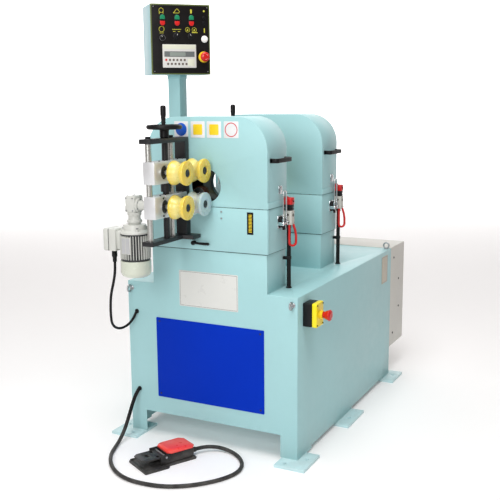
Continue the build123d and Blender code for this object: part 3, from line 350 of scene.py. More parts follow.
moulded("keyBrown", (96, 84, 76), roughness=0.45, grainDepth=0.00003)
moulded("capRed", (246, 62, 52), roughness=0.3, grainDepth=0.00005, Coat_Weight=0.25)
moulded("treadGrey", (84, 86, 90), roughness=0.55)
for name, glow in (("paleFloor", studio["floorGlow"]), ("paleWall", studio["wallGlow"])):
    moulded(name, (*studio["floorTint"], 1), roughness=0.8, grainScale=60.0, grainDepth=0.00005,
            mottle=0.004, dust=0.0, Emission_Color=(1, 1, 1, 1), Emission_Strength=glow)


# From the words of a node or a slot to the name in this script
def camel(words):
    return "".join(word.capitalize() if k else word for k, word in enumerate(words.split("_")))


for node in nodes.values():
    for slot in node.material_slots:
        slot.material = finishes.get(camel(slot.material.name), finishes["machinePaint"])
print("finishes ready:", len(finishes))


# An object from a mesh in the making, with one finish or several
def newObject(name, bm, finish):
    mesh = bpy.data.meshes.new(name)
    bm.to_mesh(mesh)
    bm.free()
    for each in (finish,) if isinstance(finish, str) else finish:
        mesh.materials.append(finishes[each])
    made = bpy.data.objects.new(name, mesh)
    scene.collection.objects.link(made)
    return made


def makeFloor():
    bm = bmesh.new()
    bmesh.ops.create_grid(bm, x_segments=8, y_segments=8, size=14)
    floor = newObject("studioFloor", bm, "paleFloor")


# Bright round wall behind the machine, as seen from the camera
def makeBackdrop(kit, view):
    bm = bmesh.new()
    middle = math.radians(90 + view["yaw"])
    columns = []
    for k in range(49):
        a = middle + math.radians(-42 + 84 * k / 48)
        x, y = kit["wallRadius"] * math.cos(a), kit["wallRadius"] * math.sin(a)
        columns.append([bm.verts.new((x, y, z)) for z in (-0.01, kit["wallHeight"])])
    for a, b in zip(columns, columns[1:]):
        bm.faces.new((b[0], a[0], a[1], b[1]))
    wall = newObject("studioBackdrop", bm, "paleWall")


makeFloor()
makeBackdrop(studio, viewpoint)


# Cords

motorCord = {"diameter": 0.011, "length": 0.477, "route": ((-0.32, -0.804, 0.807), (-0.32, -0.804, 0.768),
        (-0.336, -0.798, 0.716), (-0.36, -0.785, 0.664), (-0.378, -0.767, 0.612), (-0.394, -0.746, 0.562),
        (-0.398, -0.736, 0.523), (-0.396, -0.712, 0.498), (-0.389, -0.679, 0.489), (-0.378, -0.646, 0.498),
        (-0.366, -0.622, 0.522), (-0.357, -0.613, 0.552))}
footCord = {"diameter": 0.016, "length": 1.457, "route": ((-0.356, -0.613, 0.202), (-0.359, -0.633, 0.186),
        (-0.362, -0.659, 0.146), (-0.361, -0.691, 0.098), (-0.36, -0.725, 0.052), (-0.361, -0.761, 0.018),
        (-0.348, -0.815, 0.008), (-0.322, -0.881, 0.008), (-0.272, -0.951, 0.008), (-0.203, -1.009, 0.008),
        (-0.126, -1.041, 0.008), (-0.045, -1.043, 0.008), (0.03, -1.031, 0.008), (0.098, -0.995, 0.008),
        (0.154, -0.945, 0.008), (0.201, -0.883, 0.008), (0.229, -0.811, 0.008), (0.222, -0.747, 0.008),
        (0.19, -0.693, 0.008), (0.142, -0.653, 0.009), (0.09, -0.637, 0.013), (0.044, -0.645, 0.019),
        (0.0045, -0.6773, 0.024), (-0.0138, -0.7107, 0.024))}


def layCord(name, cord, node):
    curve = bpy.data.curves.new(name, "CURVE")
    curve.dimensions = "3D"
    spline = curve.splines.new("NURBS")
    spline.points.add(len(cord["route"]) - 1)
    for point, spot in zip(spline.points, cord["route"]):
        point.co = (*spot, 1)
    spline.order_u = 3
    spline.use_endpoint_u = True
    curve.resolution_u = 12
    curve.bevel_depth = cord["diameter"] / 2
    curve.bevel_resolution = 5
    curve.use_fill_caps = True
    curve.materials.append(finishes["cordRubber"])
    piece = bpy.data.objects.new(name, curve)
    scene.collection.objects.link(piece)
    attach(piece, "root")
    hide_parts(node)
    return piece


motorLead = layCord("motorLead", motorCord, "motor_cord")
footLead = layCord("footLead", footCord, "foot_switch_cord")
print("cords laid")


# Ways of making a piece

# Points written in millimetres
def mm(*points):
    return [tuple(value / 1000 for value in point) for point in points]


# Points written in millimetres from a place, as vectors
def mmFrom(origin, *points):
    return [Vector(origin) + Vector(point) / 1000 for point in points]


def lifted(place, rise):
    return place @ Matrix.Translation((0, 0, rise))


# Angles of equal steps round a circle
def roundSteps(count):
    return [2 * math.pi * k / count for k in range(count)]


# Faces between rings of points; a ring of one point is a tip
def skinRings(bm, rings, finish=0, closed=False, capped=False):
    for lower, upper in zip(rings, rings[1:] + (rings[:1] if closed else [])):
        count = max(len(lower), len(upper))
        for k in range(count if count > 1 else 0):
            after = (k + 1) % count
            if len(lower) == 1:
                corners = (lower[0], upper[after], upper[k])
            elif len(upper) == 1:
                corners = (lower[k], lower[after], upper[0])
            else:
                corners = (lower[k], lower[after], upper[after], upper[k])
            bm.faces.new(corners).material_index = finish
    for loop in (list(reversed(rings[0])), rings[-1]) if capped else ():
        bm.faces.new(loop).material_index = finish


def meshPiece(name, bm, finish, body, replaced=(), angle=32):
    piece = newObject(name, bm, finish)
    piece.data.shade_smooth()
    piece.data.set_sharp_from_angle(angle=math.radians(angle))
    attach(piece, body)
    if replaced:
        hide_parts(*replaced)
    return piece


# A frame whose third axis points out of a surface; right fixes its first axis
def faceFrame(origin, out, right=(1, 0, 0)):
    out = Vector(out).normalized()
    right = Vector(right)
    right = (right - out * right.dot(out)).normalized()
    return Matrix.Translation(origin) @ Matrix((right, out.cross(right), out)).transposed().to_4x4()


def addBlock(bm, low, high, edge=0.001, segments=2, place=None, finish=0):
    made = bmesh.ops.create_cube(bm, size=1.0)["verts"]
    size = [h - l for l, h in zip(low, high)]
    middle = [(h + l) / 2 for l, h in zip(low, high)]
    for vert in made:
        vert.co = Vector([m + c * s for m, c, s in zip(middle, vert.co, size)])
    faces = {f for v in made for f in v.link_faces}
    if edge:
        edges = list({e for v in made for e in v.link_edges})
        room = min(edge, 0.45 * min(size))
        rounded = bmesh.ops.bevel(bm, geom=edges, offset=room, segments=segments, profile=0.5,
                affect="EDGES")
        faces = {near for f in rounded["faces"] for e in f.edges for near in e.link_faces}
    for face in faces:
        face.material_index = finish
    if place is not None:
        bmesh.ops.transform(bm, matrix=place, verts=list({v for f in faces for v in f.verts}))


# Block written in millimetres from a place
def blockAt(bm, origin, low, high, edge, segments=2, finish=0):
    low, high = ([o + v / 1000 for o, v in zip(origin, corner)] for corner in (low, high))
    addBlock(bm, low, high, edge / 1000, segments, None, finish)


# Turned shape: profile points are (radius, distance along the axis)
def addTurned(bm, profile, origin, axis, segments=40, finish=0):
    frameOut = faceFrame(origin, axis, (1, 0, 0) if abs(Vector(axis).normalized().x) < 0.9 else (0, 1, 0))
    rings = []
    for radius, along in profile:
        rings.append([bm.verts.new(frameOut @ Vector((radius * math.cos(a), radius * math.sin(a), along)))
                for a in roundSteps(segments if radius > 0 else 1)])
    skinRings(bm, rings, finish)


# Round bar through points; bends are drawn by the points themselves
def addBar(bm, points, radius, sides=12, closed=False, finish=0):
    points = [Vector(p) for p in points]
    count = len(points)
    rings = []
    tangentBefore = across = None
    for k, point in enumerate(points):
        if closed:
            tangent = (points[(k + 1) % count] - points[k - 1]).normalized()
        else:
            tangent = (points[min(k + 1, count - 1)] - points[max(k - 1, 0)]).normalized()
        if across is None:
            across = tangent.orthogonal().normalized()
        else:
            across = tangentBefore.rotation_difference(tangent) @ across
        across = (across - tangent * across.dot(tangent)).normalized()
        side = tangent.cross(across)
        tangentBefore = tangent
        rings.append([bm.verts.new(point + (across * math.cos(a) + side * math.sin(a)) * radius)
                for a in roundSteps(sides)])
    skinRings(bm, rings, finish, closed, not closed)


def roundedLoop(width, height, radius, centre=(0, 0), steps=6, corners=(1, 1, 1, 1)):
    loop = []
    for index, (sx, sy, start) in enumerate(((1, 1, 0), (-1, 1, 90), (-1, -1, 180), (1, -1, 270))):
        r = radius * corners[index]
        cx = centre[0] + sx * (width / 2 - r)
        cy = centre[1] + sy * (height / 2 - r)
        if r < 1e-6:
            loop.append((cx, cy))
            continue
        for k in range(steps + 1):
            a = math.radians(start + 90 * k / steps)
            loop.append((cx + r * math.cos(a), cy + r * math.sin(a)))
    return loop


def circleLoop(radius, centre=(0, 0), steps=40):
    return [(centre[0] + radius * math.cos(a), centre[1] + radius * math.sin(a)) for a in roundSteps(steps)]


# Sheet with holes, from closed loops; it lies on the frame's plane and grows along its third axis
def addSheet(bm, loops, thickness, edge, place, finish=0):
    outline = bpy.data.curves.new("sheet", "CURVE")
    outline.dimensions = "2D"
    outline.fill_mode = "BOTH"
    for loop in loops:
        spline = outline.splines.new("POLY")
        spline.points.add(len(loop) - 1)
        for point, spot in zip(spline.points, loop):
            point.co = (*spot, 0, 1)
        spline.use_cyclic_u = True
    outline.extrude = thickness / 2 - edge
    outline.bevel_depth = edge
    outline.bevel_resolution = 1
    outline.offset = -edge
    helper = bpy.data.objects.new("sheet", outline)
    scene.collection.objects.link(helper)
    bpy.context.view_layer.update()
    mesh = bpy.data.meshes.new_from_object(helper.evaluated_get(bpy.context.evaluated_depsgraph_get()))
    bpy.data.objects.remove(helper)
    flat = bmesh.new()
    flat.from_mesh(mesh)
    bmesh.ops.remove_doubles(flat, verts=flat.verts, dist=1e-5)
    bmesh.ops.transform(flat, matrix=lifted(place, thickness / 2), verts=flat.verts)
    bmesh.ops.recalc_face_normals(flat, faces=flat.faces)
    flat.to_mesh(mesh)
    flat.free()
    joinInto(bm, mesh, finish)


def joinInto(bm, mesh, finish=0):
    mesh.polygons.foreach_set("material_index", [finish] * len(mesh.polygons))
    bm.from_mesh(mesh)
    bpy.data.meshes.remove(mesh)


# A CAD part again, with its sharp edges eased; it stands in for the node
def easedCopy(name, nodeName, finish, body, ease=0.0012, segments=2):
    bm = bmesh.new()
    bm.from_mesh(nodes[nodeName].data)
    bmesh.ops.remove_doubles(bm, verts=bm.verts, dist=1e-5)
    bmesh.ops.dissolve_limit(bm, angle_limit=math.radians(1.5), verts=bm.verts, edges=bm.edges)
    sharp = [e for e in bm.edges if len(e.link_faces) == 2 and e.calc_face_angle(0) > math.radians(35)]
    bmesh.ops.bevel(bm, geom=sharp, offset=ease, segments=segments, profile=0.5, affect="EDGES",
            clamp_overlap=True)
    bmesh.ops.triangulate(bm, faces=[f for f in bm.faces if len(f.verts) > 4])
    return meshPiece(name, bm, finish, body, (nodeName,))


# Hexagon head screw or cap screw on a face, turned and with its socket or flats
def addCapScrew(bm, origin, out, radius=0.004, height=0.004, finish=0):
    addTurned(bm, ((radius * 0.45, height * 0.45), (radius * 0.45, height), (radius * 0.86, height),
            (radius, height * 0.8), (radius, 0.0), (radius * 0.3, -0.0005)), origin, out, 20, finish)
    addTurned(bm, ((0.0, height * 0.45), (radius * 0.46, height * 0.45)), origin, out, 6, finish)


def addHexNut(bm, origin, out, across, height, finish=0, domed=True):
    radius = across / 2 / math.cos(math.radians(30))
    top = height * 0.86 if domed else height
    addTurned(bm, ((0.0, 0.0), (radius, 0.0), (radius, top), (radius * 0.84, height), (0.0, height)),
            origin, out, 6, finish)


# A plate given by its sides: its width, its height and its frame on the wall behind it
def plateOn(plate, wall):
    centre = ((plate["left"] + plate["right"]) / 2, wall, (plate["bottom"] + plate["top"]) / 2)
    return plate["right"] - plate["left"], plate["top"] - plate["bottom"], faceFrame(centre, (0, -1, 0))


# Screw places at the corners of a plate, each with the way that its head looks
def cornerSpots(place, x, y, z, facing=1):
    out = place.to_3x3() @ Vector((0, 0, facing))
    return [(place @ Vector((sx * x, sy * y, z)), out) for sx in (-1, 1) for sy in (-1, 1)]


# Base cabinet and its plates

for nodeName, pieceName, ease in (("base_front_panel", "frontPanel", 0.0014),
        ("base_rear_panel", "rearPanel", 0.0014), ("base_side_panels", "sidePanels", 0.0012),
        ("base_top_plate", "topPlate", 0.001), ("base_floor_pan", "floorPan", 0.0008),
        ("head_pedestals", "pedestals", 0.0016), ("control_post", "controlPost", 0.003)):
    easedCopy(pieceName, nodeName, "machinePaint", "root", ease)
# The foot plates take the paler turquoise: painted top light
easedCopy("footPlates", "foot_plates", "footPaint", "root", 0.0015)
easedCopy("cabinetShell", "electrical_cabinet", "cabinetPaint", "root", 0.0018)
easedCopy("cabinetLids", "cabinet_covers", "cabinetPaint", "root", 0.001)
print("base panels eased")

bluePlate = {"left": -0.258, "right": 0.254, "bottom": 0.183, "top": 0.537, "thickness": 0.004,
        "corner": 0.004, "screwInset": 0.016, "screwRadius": 0.0042}


def makeBluePlate(plate):
    width, height, place = plateOn(plate, baseFront)
    bm = bmesh.new()
    addSheet(bm, [roundedLoop(width, height, plate["corner"])], plate["thickness"] - 0.0012, 0.0008, place)
    inset = plate["screwInset"]
    for spot, out in cornerSpots(place, width / 2 - inset, height / 2 - inset, plate["thickness"] - 0.0014):
        addCapScrew(bm, spot, out, plate["screwRadius"], 0.0013, 1)
    meshPiece("bluePlate", bm, ("blueSheet", "blackSteel"), "root", ("cover_plate",))


makeBluePlate(bluePlate)

namePlate = {"left": -0.139, "right": 0.138, "bottom": 0.6, "top": 0.753, "thickness": 0.0015,
        "corner": 0.003, "frameInset": 0.004, "frameWidth": 0.0011}
sidePlate = {"front": 1.062, "back": 1.154, "bottom": 0.524, "top": 0.663}


def addBorder(bm, width, height, inset, line, place, finish):
    outer = roundedLoop(width - 2 * inset, height - 2 * inset, 0.002)
    inner = roundedLoop(width - 2 * inset - 2 * line, height - 2 * inset - 2 * line, 0.0012)
    addSheet(bm, [outer, inner], 0.0003, 0.00005, place, finish)


def makeWhitePlates(front, side):
    bm = bmesh.new()
    width, height, place = plateOn(front, baseFront)
    addSheet(bm, [roundedLoop(width, height, front["corner"])], front["thickness"] - 0.0003, 0.0003, place)
    addBorder(bm, width, height, front["frameInset"], front["frameWidth"],
            lifted(place, front["thickness"] - 0.0004), 1)
    width, height = side["back"] - side["front"], side["top"] - side["bottom"]
    place = faceFrame((0.4, baseFront + (side["front"] + side["back"]) / 2,
            (side["bottom"] + side["top"]) / 2), (1, 0, 0), (0, 1, 0))
    addSheet(bm, [roundedLoop(width, height, 0.004)], 0.0012, 0.0003, place, 2)
    addBorder(bm, width, height, 0.004, 0.001, lifted(place, 0.0011), 1)
    meshPiece("whitePlates", bm, ("nameWhite", "plateLine", "labelBeige"), "root",
            ("blank_plates",))


makeWhitePlates(namePlate, sidePlate)

weldSeam = {"radius": 0.0022, "wobble": 0.0006, "pitch": 0.0035}


# Weld beads where the foot plates, legs and pedestals meet; their ripples follow the torch
def makeWelds(seam):
    bm = bmesh.new()
    runs = []
    for side in (-1, 1):
        x = side * 0.4
        for start, end in ((-0.607, -0.462), (-0.177, 0.033), (0.462, 0.607)):
            runs.append(((x, start, 0.012), (x, end, 0.012)))
        for y in (-0.607, 0.607):
            runs.append(((side * 0.33, y, 0.012), (side * 0.4, y, 0.012)))
    for y in (-0.427, -0.043, 0.133):
        runs.append(((-0.268, y, 0.685), (0.268, y, 0.685)))
    for y0, y1 in ((-0.603, -0.427), (-0.043, 0.133)):
        for side in (-1, 1):
            runs.append(((side * 0.268, y0, 0.685), (side * 0.268, y1, 0.685)))
    for sx in (-1, 1):
        runs.append(((-0.355 + sx * 0.03, -0.266, 0.685), (-0.355 + sx * 0.03, -0.206, 0.685)))
        runs.append(((-0.385, -0.236 + sx * 0.03, 0.685), (-0.325, -0.236 + sx * 0.03, 0.685)))
    for start, end in runs:
        start, end = Vector(start), Vector(end)
        steps = max(4, int((end - start).length / seam["pitch"]))
        points = [start.lerp(end, k / steps) for k in range(steps + 1)]
        before = len(bm.verts)
        addBar(bm, points, seam["radius"], 8)
        bm.verts.ensure_lookup_table()
        axis = (end - start).normalized()
        for vert in bm.verts[before:]:
            along = (vert.co - start).dot(axis)
            core = start + axis * along
            ripple = 1 + seam["wobble"] / seam["radius"] * math.sin(along / seam["pitch"] * math.pi +
                    vert.co.z * 300)
            vert.co = core + (vert.co - core) * ripple
    meshPiece("weldBeads", bm, "machinePaint", "root")


makeWelds(weldSeam)

eyeBolt = {"x": 0.38, "ring": 0.014, "wire": 0.004, "collar": 0.0105}


def makeEyeBolts(eye):
    bm = bmesh.new()
    reach = eye["ring"] + eye["wire"]
    for side in (-1, 1):
        for foot, out, across in (((side * eye["x"], -0.607, 0.655), (0, -1, 0), (0, 0, 1)),
                ((side * eye["x"], 0.587, 0.685), (0, 0, 1), (1, 0, 0))):
            foot, out, across = Vector(foot), Vector(out), Vector(across)
            centre = foot + out * reach
            loop = [centre + (out * math.cos(a) + across * math.sin(a)) * eye["ring"]
                    for a in roundSteps(36)]
            addBar(bm, loop, eye["wire"], 12, closed=True)
            addTurned(bm, ((0, 0), (eye["collar"], 0), (eye["collar"], 0.0028),
                    (eye["collar"] - 0.0015, 0.004), (0.0062, 0.0046), (0.0052, 0.0075), (0, 0.0076)), foot,
                    out, 28)
    meshPiece("eyeBolts", bm, "steel", "root", ("lifting_eyes",))


makeEyeBolts(eyeBolt)

cabinetTrim = {"x": 0.4, "screws": ((0.658, 0.629), (0.749, 0.5), (0.758, 0.347), (0.66, 0.22)),
        "radius": 0.0058}


def makeCabinetTrim(trim):
    bm = bmesh.new()
    for side in (-1, 1):
        for y, z in trim["screws"]:
            addCapScrew(bm, (side * (trim["x"] - 0.0003), y, z), (side, 0, 0), trim["radius"], 0.0026)
    meshPiece("cabinetScrews", bm, "blackSteel", "root")


makeCabinetTrim(cabinetTrim)
print("base dressed")


# Polishing heads: lower housings and hinged hoods

headShape = {"width": 0.546, "depth": 0.182, "bottom": 0.847, "split": 1.024, "gap": 0.002, "top": 1.383,
             "corner": 0.13, "wall": 0.003, "opening": 0.067}


def makeHousings(head):
    bm = bmesh.new()
    half, width, depth = head["width"] / 2, head["width"], head["depth"]
    for front in headFronts:
        base = faceFrame((0, front + depth / 2, head["bottom"]), (0, 0, 1))
        walls = [roundedLoop(width, depth, 0.004, steps=3), roundedLoop(width - 0.008, depth - 0.008, 0.003,
                steps=3)]
        addSheet(bm, walls, head["split"] - head["bottom"], 0.0008, base)
        addSheet(bm, [roundedLoop(width - 0.007, depth - 0.007, 0.002)], 0.004, 0.0003, base)
        addBlock(bm, (half - 0.0005, front + 0.005, head["bottom"] + 0.0006),
                (half + 0.0009, front + 0.017, head["split"] - 0.0006), 0.0006)
        # Thin dark sheet under the housing on the pedestal's top: painted shadow of the housing's overhang
        band = [roundedLoop(width - 0.0085, depth - 0.0045, 0.003, steps=3),
                roundedLoop(width - 0.02, depth - 0.016, 0.002, steps=3)]
        addSheet(bm, band, 0.0032, 0.0003, lifted(base, -0.0034), 1)
    meshPiece("housings", bm, ("machinePaint", "seamShadow"), "root", ("head_housings",))


makeHousings(headShape)


def hoodOutline(head, shrink=0.0):
    bottom = head["split"] + head["gap"]
    return roundedLoop(head["width"] - 2 * shrink, head["top"] - shrink - bottom, head["corner"] - shrink,
            (0, (head["top"] - shrink + bottom) / 2), 18, (1, 1, 0, 0))


# Hood in bent sheet: front and rear face with a rolled edge, and the wrap between them
def makeHood(head, index):
    front = headFronts[index - 1]
    body = "hood_%d" % index
    wall = head["wall"]
    bm = bmesh.new()
    for y in (front, front + head["depth"] - wall):
        place = faceFrame((0, y + wall, 0), (0, -1, 0))
        loops = [hoodOutline(head), circleLoop(head["opening"], (0, tubeHeight), 56)]
        addSheet(bm, loops, wall, 0.0009, place)
    place = faceFrame((0, front + head["depth"] - wall - 0.0002, 0), (0, -1, 0))
    half, top, corner = head["width"] / 2, head["top"], head["corner"]
    bottom = head["split"] + head["gap"]
    path = []
    for shrink in (0.0, wall):
        arc = [(half - corner + (corner - shrink) * math.cos(math.radians(90 * k / 24)),
                top - corner + (corner - shrink) * math.sin(math.radians(90 * k / 24))) for k in range(25)]
        side = [(half - shrink, bottom)] + arc
        side += [(-x, z) for x, z in reversed(side)]
        path += side if not shrink else list(reversed(side))
    addSheet(bm, [path], head["depth"] - 2 * wall + 0.0004, 0.0002, place)
    # folded lip at the lower edge of the right side, and the flange of the front sheet
    addBlock(bm, (half - 0.0005, front + 0.001, bottom + 0.0005),
            (half + 0.003, front + head["depth"] - 0.001, bottom + 0.0245), 0.0011)
    addBlock(bm, (half - 0.0005, front + 0.005, bottom + 0.025),
            (half + 0.0009, front + 0.017, top - corner), 0.0006)
    meshPiece("hood%d" % index, bm, "machinePaint", body,
            ("hood_faces_%d" % index, "hood_shell_%d" % index), 28)


for index in (1, 2):
    makeHood(headShape, index)

signSquares = {"centres": (-0.111, -0.034, 0.04, 0.117), "height": 1.333, "size": 0.065,
        "thickness": 0.0006}


# Four plain squares with one plain mark each
def makeSigns(signs):
    bm = bmesh.new()
    front = headFronts[0]
    for number, x in enumerate(signs["centres"]):
        place = faceFrame((x, front, signs["height"]), (0, -1, 0))
        addSheet(bm, [roundedLoop(signs["size"], signs["size"], 0.003)], signs["thickness"], 0.0001, place)
        above = lifted(place, signs["thickness"] - 0.0001)
        if number == 0:
            addSheet(bm, [circleLoop(0.026)], 0.0003, 0.00005, above, 1)
        elif number == 3:
            addSheet(bm, [circleLoop(0.028), circleLoop(0.0245)], 0.0003, 0.00005, above, 3)
        else:
            loop = roundedLoop(0.042, 0.042, 0.004, steps=4)
            addSheet(bm, [loop], 0.0003, 0.00005, above, 2)
    meshPiece("hoodSquares", bm, ("whitePlate", "signBlue", "signYellow", "signRed"), "hood_1")


makeSigns(signSquares)

hazardStrip = {"left": 0.183, "right": 0.211, "bottom": 0.923, "top": 1.012, "bars": 13}


def makeHousingTrim(strip):
    front = headFronts[0]
    bm = bmesh.new()
    width, height, place = plateOn(strip, front)
    addSheet(bm, [roundedLoop(width, height, 0.001)], 0.0006, 0.0001, place, 1)
    step = height / strip["bars"]
    for k in range(strip["bars"]):
        middle = (-height / 2 + step * (k + 0.5)) * 0.82
        addSheet(bm, [roundedLoop(width * 0.5, step * 0.4, 0.0006, (0, middle))], 0.0003, 0.00005,
                lifted(place, 0.0005))
    for z in (1.008, 0.981):
        addCapScrew(bm, (0.068, front + 0.0002, z), (0, -1, 0), 0.004, 0.0022, 2)
    meshPiece("markStrip", bm, ("signYellow", "controlBlack", "steel"), "root")


makeHousingTrim(hazardStrip)
print("hoods and housings made")


# Geometry node trees for what repeats

def startTree(name, inputs):
    every = (("Geometry", "Geometry", None), *inputs, ("Material", "Material", None))
    return newTree("Geometry", name, every, (("Geometry", "Geometry"),))


# Copies of a part on points, realized and painted
def endTree(tree, start, end, points, part, turn=None, size=None):
    copies = addNode(tree, "GeometryNodeInstanceOnPoints",
            {"Points": points, "Instance": part, "Rotation": turn, "Scale": size})
    realize = addNode(tree, "GeometryNodeRealizeInstances", {"Geometry": copies.outputs["Instances"]})
    paint = addNode(tree, "GeometryNodeSetMaterial",
            {"Geometry": realize.outputs["Geometry"], "Material": start["Material"]})
    feed(tree, paint.outputs["Geometry"], end["Geometry"])
    return tree


# Fins set round an upright axis, each a thin tapered blade
def buildFinRing():
    tree, start, end = startTree("finRing", (("Count", "Int", 32), ("Inner", "Float", 0.048),
            ("Outer", "Float", 0.061), ("Thickness", "Float", 0.002), ("Length", "Float", 0.1)))
    middle = sums(tree, "MULTIPLY", sums(tree, "ADD", start["Inner"], start["Outer"]), 0.5)
    ring = addNode(tree, "GeometryNodeMeshCircle", {"Vertices": start["Count"], "Radius": middle})
    depth = sums(tree, "SUBTRACT", start["Outer"], start["Inner"])
    size = addNode(tree, "ShaderNodeCombineXYZ",
            {"X": depth, "Y": start["Thickness"], "Z": start["Length"]})
    blade = addNode(tree, "GeometryNodeMeshCube", {"Size": size.outputs[0]})
    number = addNode(tree, "GeometryNodeInputIndex").outputs[0]
    angle = sums(tree, "MULTIPLY", sums(tree, "DIVIDE", number, start["Count"]), 2 * math.pi)
    turn = addNode(tree, "ShaderNodeCombineXYZ", {"Z": angle})
    return endTree(tree, start, end, ring.outputs["Mesh"], blade.outputs["Mesh"], turn.outputs[0])


# Rings stacked along an upright axis: a screw's thread, the ribs of a cord gland
def buildRidgeStack():
    tree, start, end = startTree("ridgeStack", (("Count", "Int", 20), ("Pitch", "Float", 0.004),
            ("Radius", "Float", 0.007), ("Ridge", "Float", 0.001)))
    step = addNode(tree, "ShaderNodeCombineXYZ", {"Z": start["Pitch"]})
    line = addNode(tree, "GeometryNodeMeshLine", {"Count": start["Count"], "Offset": step.outputs[0]})
    hoop = addNode(tree, "GeometryNodeCurvePrimitiveCircle", {"Resolution": 20, "Radius": start["Radius"]})
    section = addNode(tree, "GeometryNodeCurvePrimitiveCircle", {"Resolution": 6, "Radius": start["Ridge"]})
    ridge = addNode(tree, "GeometryNodeCurveToMesh",
            {"Curve": hoop.outputs["Curve"], "Profile Curve": section.outputs["Curve"]})
    return endTree(tree, start, end, line.outputs["Mesh"], ridge.outputs["Mesh"])


# Copies of one small part at every point of the host mesh, turned by the point's own vector
def buildScatterParts():
    tree, start, end = startTree("partAtPoints", (("Part", "Object", None), ("Size", "Float", 1.0)))
    turn = addNode(tree, "GeometryNodeInputNamedAttribute", {"Name": "turn"}, data_type="FLOAT_VECTOR")
    part = addNode(tree, "GeometryNodeObjectInfo", {"Object": start["Part"]})
    return endTree(tree, start, end, start["Geometry"], part.outputs["Geometry"], turn.outputs["Attribute"],
            start["Size"])


finRing = buildFinRing()
ridgeStack = buildRidgeStack()
partAtPoints = buildScatterParts()


# Runs a tree on a host mesh and gives back a plain mesh, moved to its place
def growMesh(name, tree, values, place=None, host=None):
    host = host or bpy.data.meshes.new(name)
    carrier = bpy.data.objects.new(name, host)
    scene.collection.objects.link(carrier)
    modifier = carrier.modifiers.new(name, "NODES")
    modifier.node_group = tree
    for item in tree.interface.items_tree:
        if item.in_out == "INPUT" and item.name in values:
            modifier[item.identifier] = values[item.name]
    bpy.context.view_layer.update()
    mesh = bpy.data.meshes.new_from_object(carrier.evaluated_get(bpy.context.evaluated_depsgraph_get()))
    carrier.modifiers.clear()
    bpy.data.objects.remove(carrier)
    if place is not None:
        mesh.transform(place)
    mesh.materials.clear()
    return mesh


def capScrewPart():
    bm = bmesh.new()
    addTurned(bm, mm((2.2, 1.8), (2.4, 4), (3.8, 4), (4.2, 3.6), (4.2, 0), (0, 0)), (0, 0, 0), (0, 0, 1),
            18)
    addTurned(bm, mm((0, 1.8), (2.3, 1.8)), (0, 0, 0), (0, 0, 1), 18)
    bmesh.ops.recalc_face_normals(bm, faces=bm.faces)
    part = newObject("capScrewPart", bm, ())
    scene.collection.objects.unlink(part)
    return part


capScrew = capScrewPart()


# Cap screws on given spots: each entry is a place and the way its head looks
def addScrews(bm, spots, size=1.0, index=0, finish="blackSteel"):
    host = bpy.data.meshes.new("screws")
    host.from_pydata([spot for spot, out in spots], [], [])
    turns = host.attributes.new("turn", "FLOAT_VECTOR", "POINT")
    for entry, (spot, out) in zip(turns.data, spots):
        entry.vector = Vector(out).to_track_quat("Z", "Y").to_euler()
    values = {"Part": capScrew, "Size": size, "Material": finishes[finish]}
    joinInto(bm, growMesh("screws", partAtPoints, values, host=host), index)


# Stacked rings on a part: threads and ribs
def addRidges(bm, count, pitch, radius, ridge, finish, place, index=0):
    values = {"Count": count, "Pitch": pitch, "Radius": radius, "Ridge": ridge,
            "Material": finishes[finish]}
    joinInto(bm, growMesh("ridges", ridgeStack, values, place), index)


# Roller units

rollerUnit = {"rodX": -0.103, "rods": (0.257, 0.098), "screwX": -0.1, "screwPlace": 0.146,
        "plateTop": 1.305, "nutAcross": 0.024, "nutLength": 0.036, "blockRight": -0.07,
        "blockHeight": 0.086, "rise": 0.066, "rollers": (0.197, 0.066)}

easedCopy("rollerBrackets", "roller_frames", "blackSteel", "root", 0.0014)
easedCopy("lowerBlocks", "lower_roller_blocks", "aluminium", "root", 0.0012)
for index in (1, 2):
    easedCopy("upperBlock%d" % index, "upper_roller_block_%d" % index, "aluminium", "carriage_%d" % index,
            0.0012)


def addShaftSeal(bm, y, z, unit):
    x = unit["blockRight"]
    addTurned(bm, mm((10.5, -9), (13.5, -8.5), (15, -6.2), (18.5, -6), (20, -4.8), (24.5, -4.6), (26.8, -6),
            (26.8, -13), (10.5, -13)), (x, y, z), (1, 0, 0))


def makeBlockTrim(unit):
    for level, name in ((-1, "lower"), (1, "upper")):
        z = tubeHeight + level * unit["rise"]
        for index, front in enumerate(unitFronts, 1):
            bm = bmesh.new()
            for place in unit["rollers"]:
                addShaftSeal(bm, front - place, z, unit)
            top = z + unit["blockHeight"] / 2 - 0.0004
            spots = [((unit["blockRight"] - 0.012, front - place + dy, top), (0, 0, 1))
                    for place in unit["rollers"] for dy in (-0.018, 0.018)]
            if level < 0:
                spots += [((unit["blockRight"] - 0.0006, front - 0.197 + dy, z + dz), (1, 0, 0))
                        for dy, dz in ((-0.016, 0.034), (-0.016, -0.034))]
            else:
                low = z - unit["blockHeight"] / 2 - unit["nutLength"]
                addTurned(bm, ((0.0144, -0.0006), (0.019, -0.0006), (0.0198, 0.0002),
                        (0.0198, unit["nutLength"] - 0.001), (0.019, unit["nutLength"]),
                        (0.0185, unit["nutLength"]), (0.0185, 0.0), (0.0144, 0.0), (0.0144, -0.0006)),
                        (unit["screwX"], front - unit["screwPlace"], low), (0, 0, 1))
            addScrews(bm, spots, 0.85)
            body = "root" if level < 0 else "carriage_%d" % index
            meshPiece("%sBlockTrim%d" % (name, index), bm, "blackSteel", body)


makeBlockTrim(rollerUnit)


def makeRodNuts(unit):
    bm = bmesh.new()
    for front in unitFronts:
        for place in unit["rods"]:
            spot = (unit["rodX"], front - place, unit["plateTop"] - 0.0003)
            addTurned(bm, mm((0, 0), (13.5, 0), (13.5, 1.8), (12.5, 2.2), (0, 2.2)), spot, (0, 0, 1), 28)
            addHexNut(bm, Vector(spot) + Vector((0, 0, 0.002)), (0, 0, 1), unit["nutAcross"] - 0.004,
                    0.0075)
    meshPiece("rodNuts", bm, "blackSteel", "root")


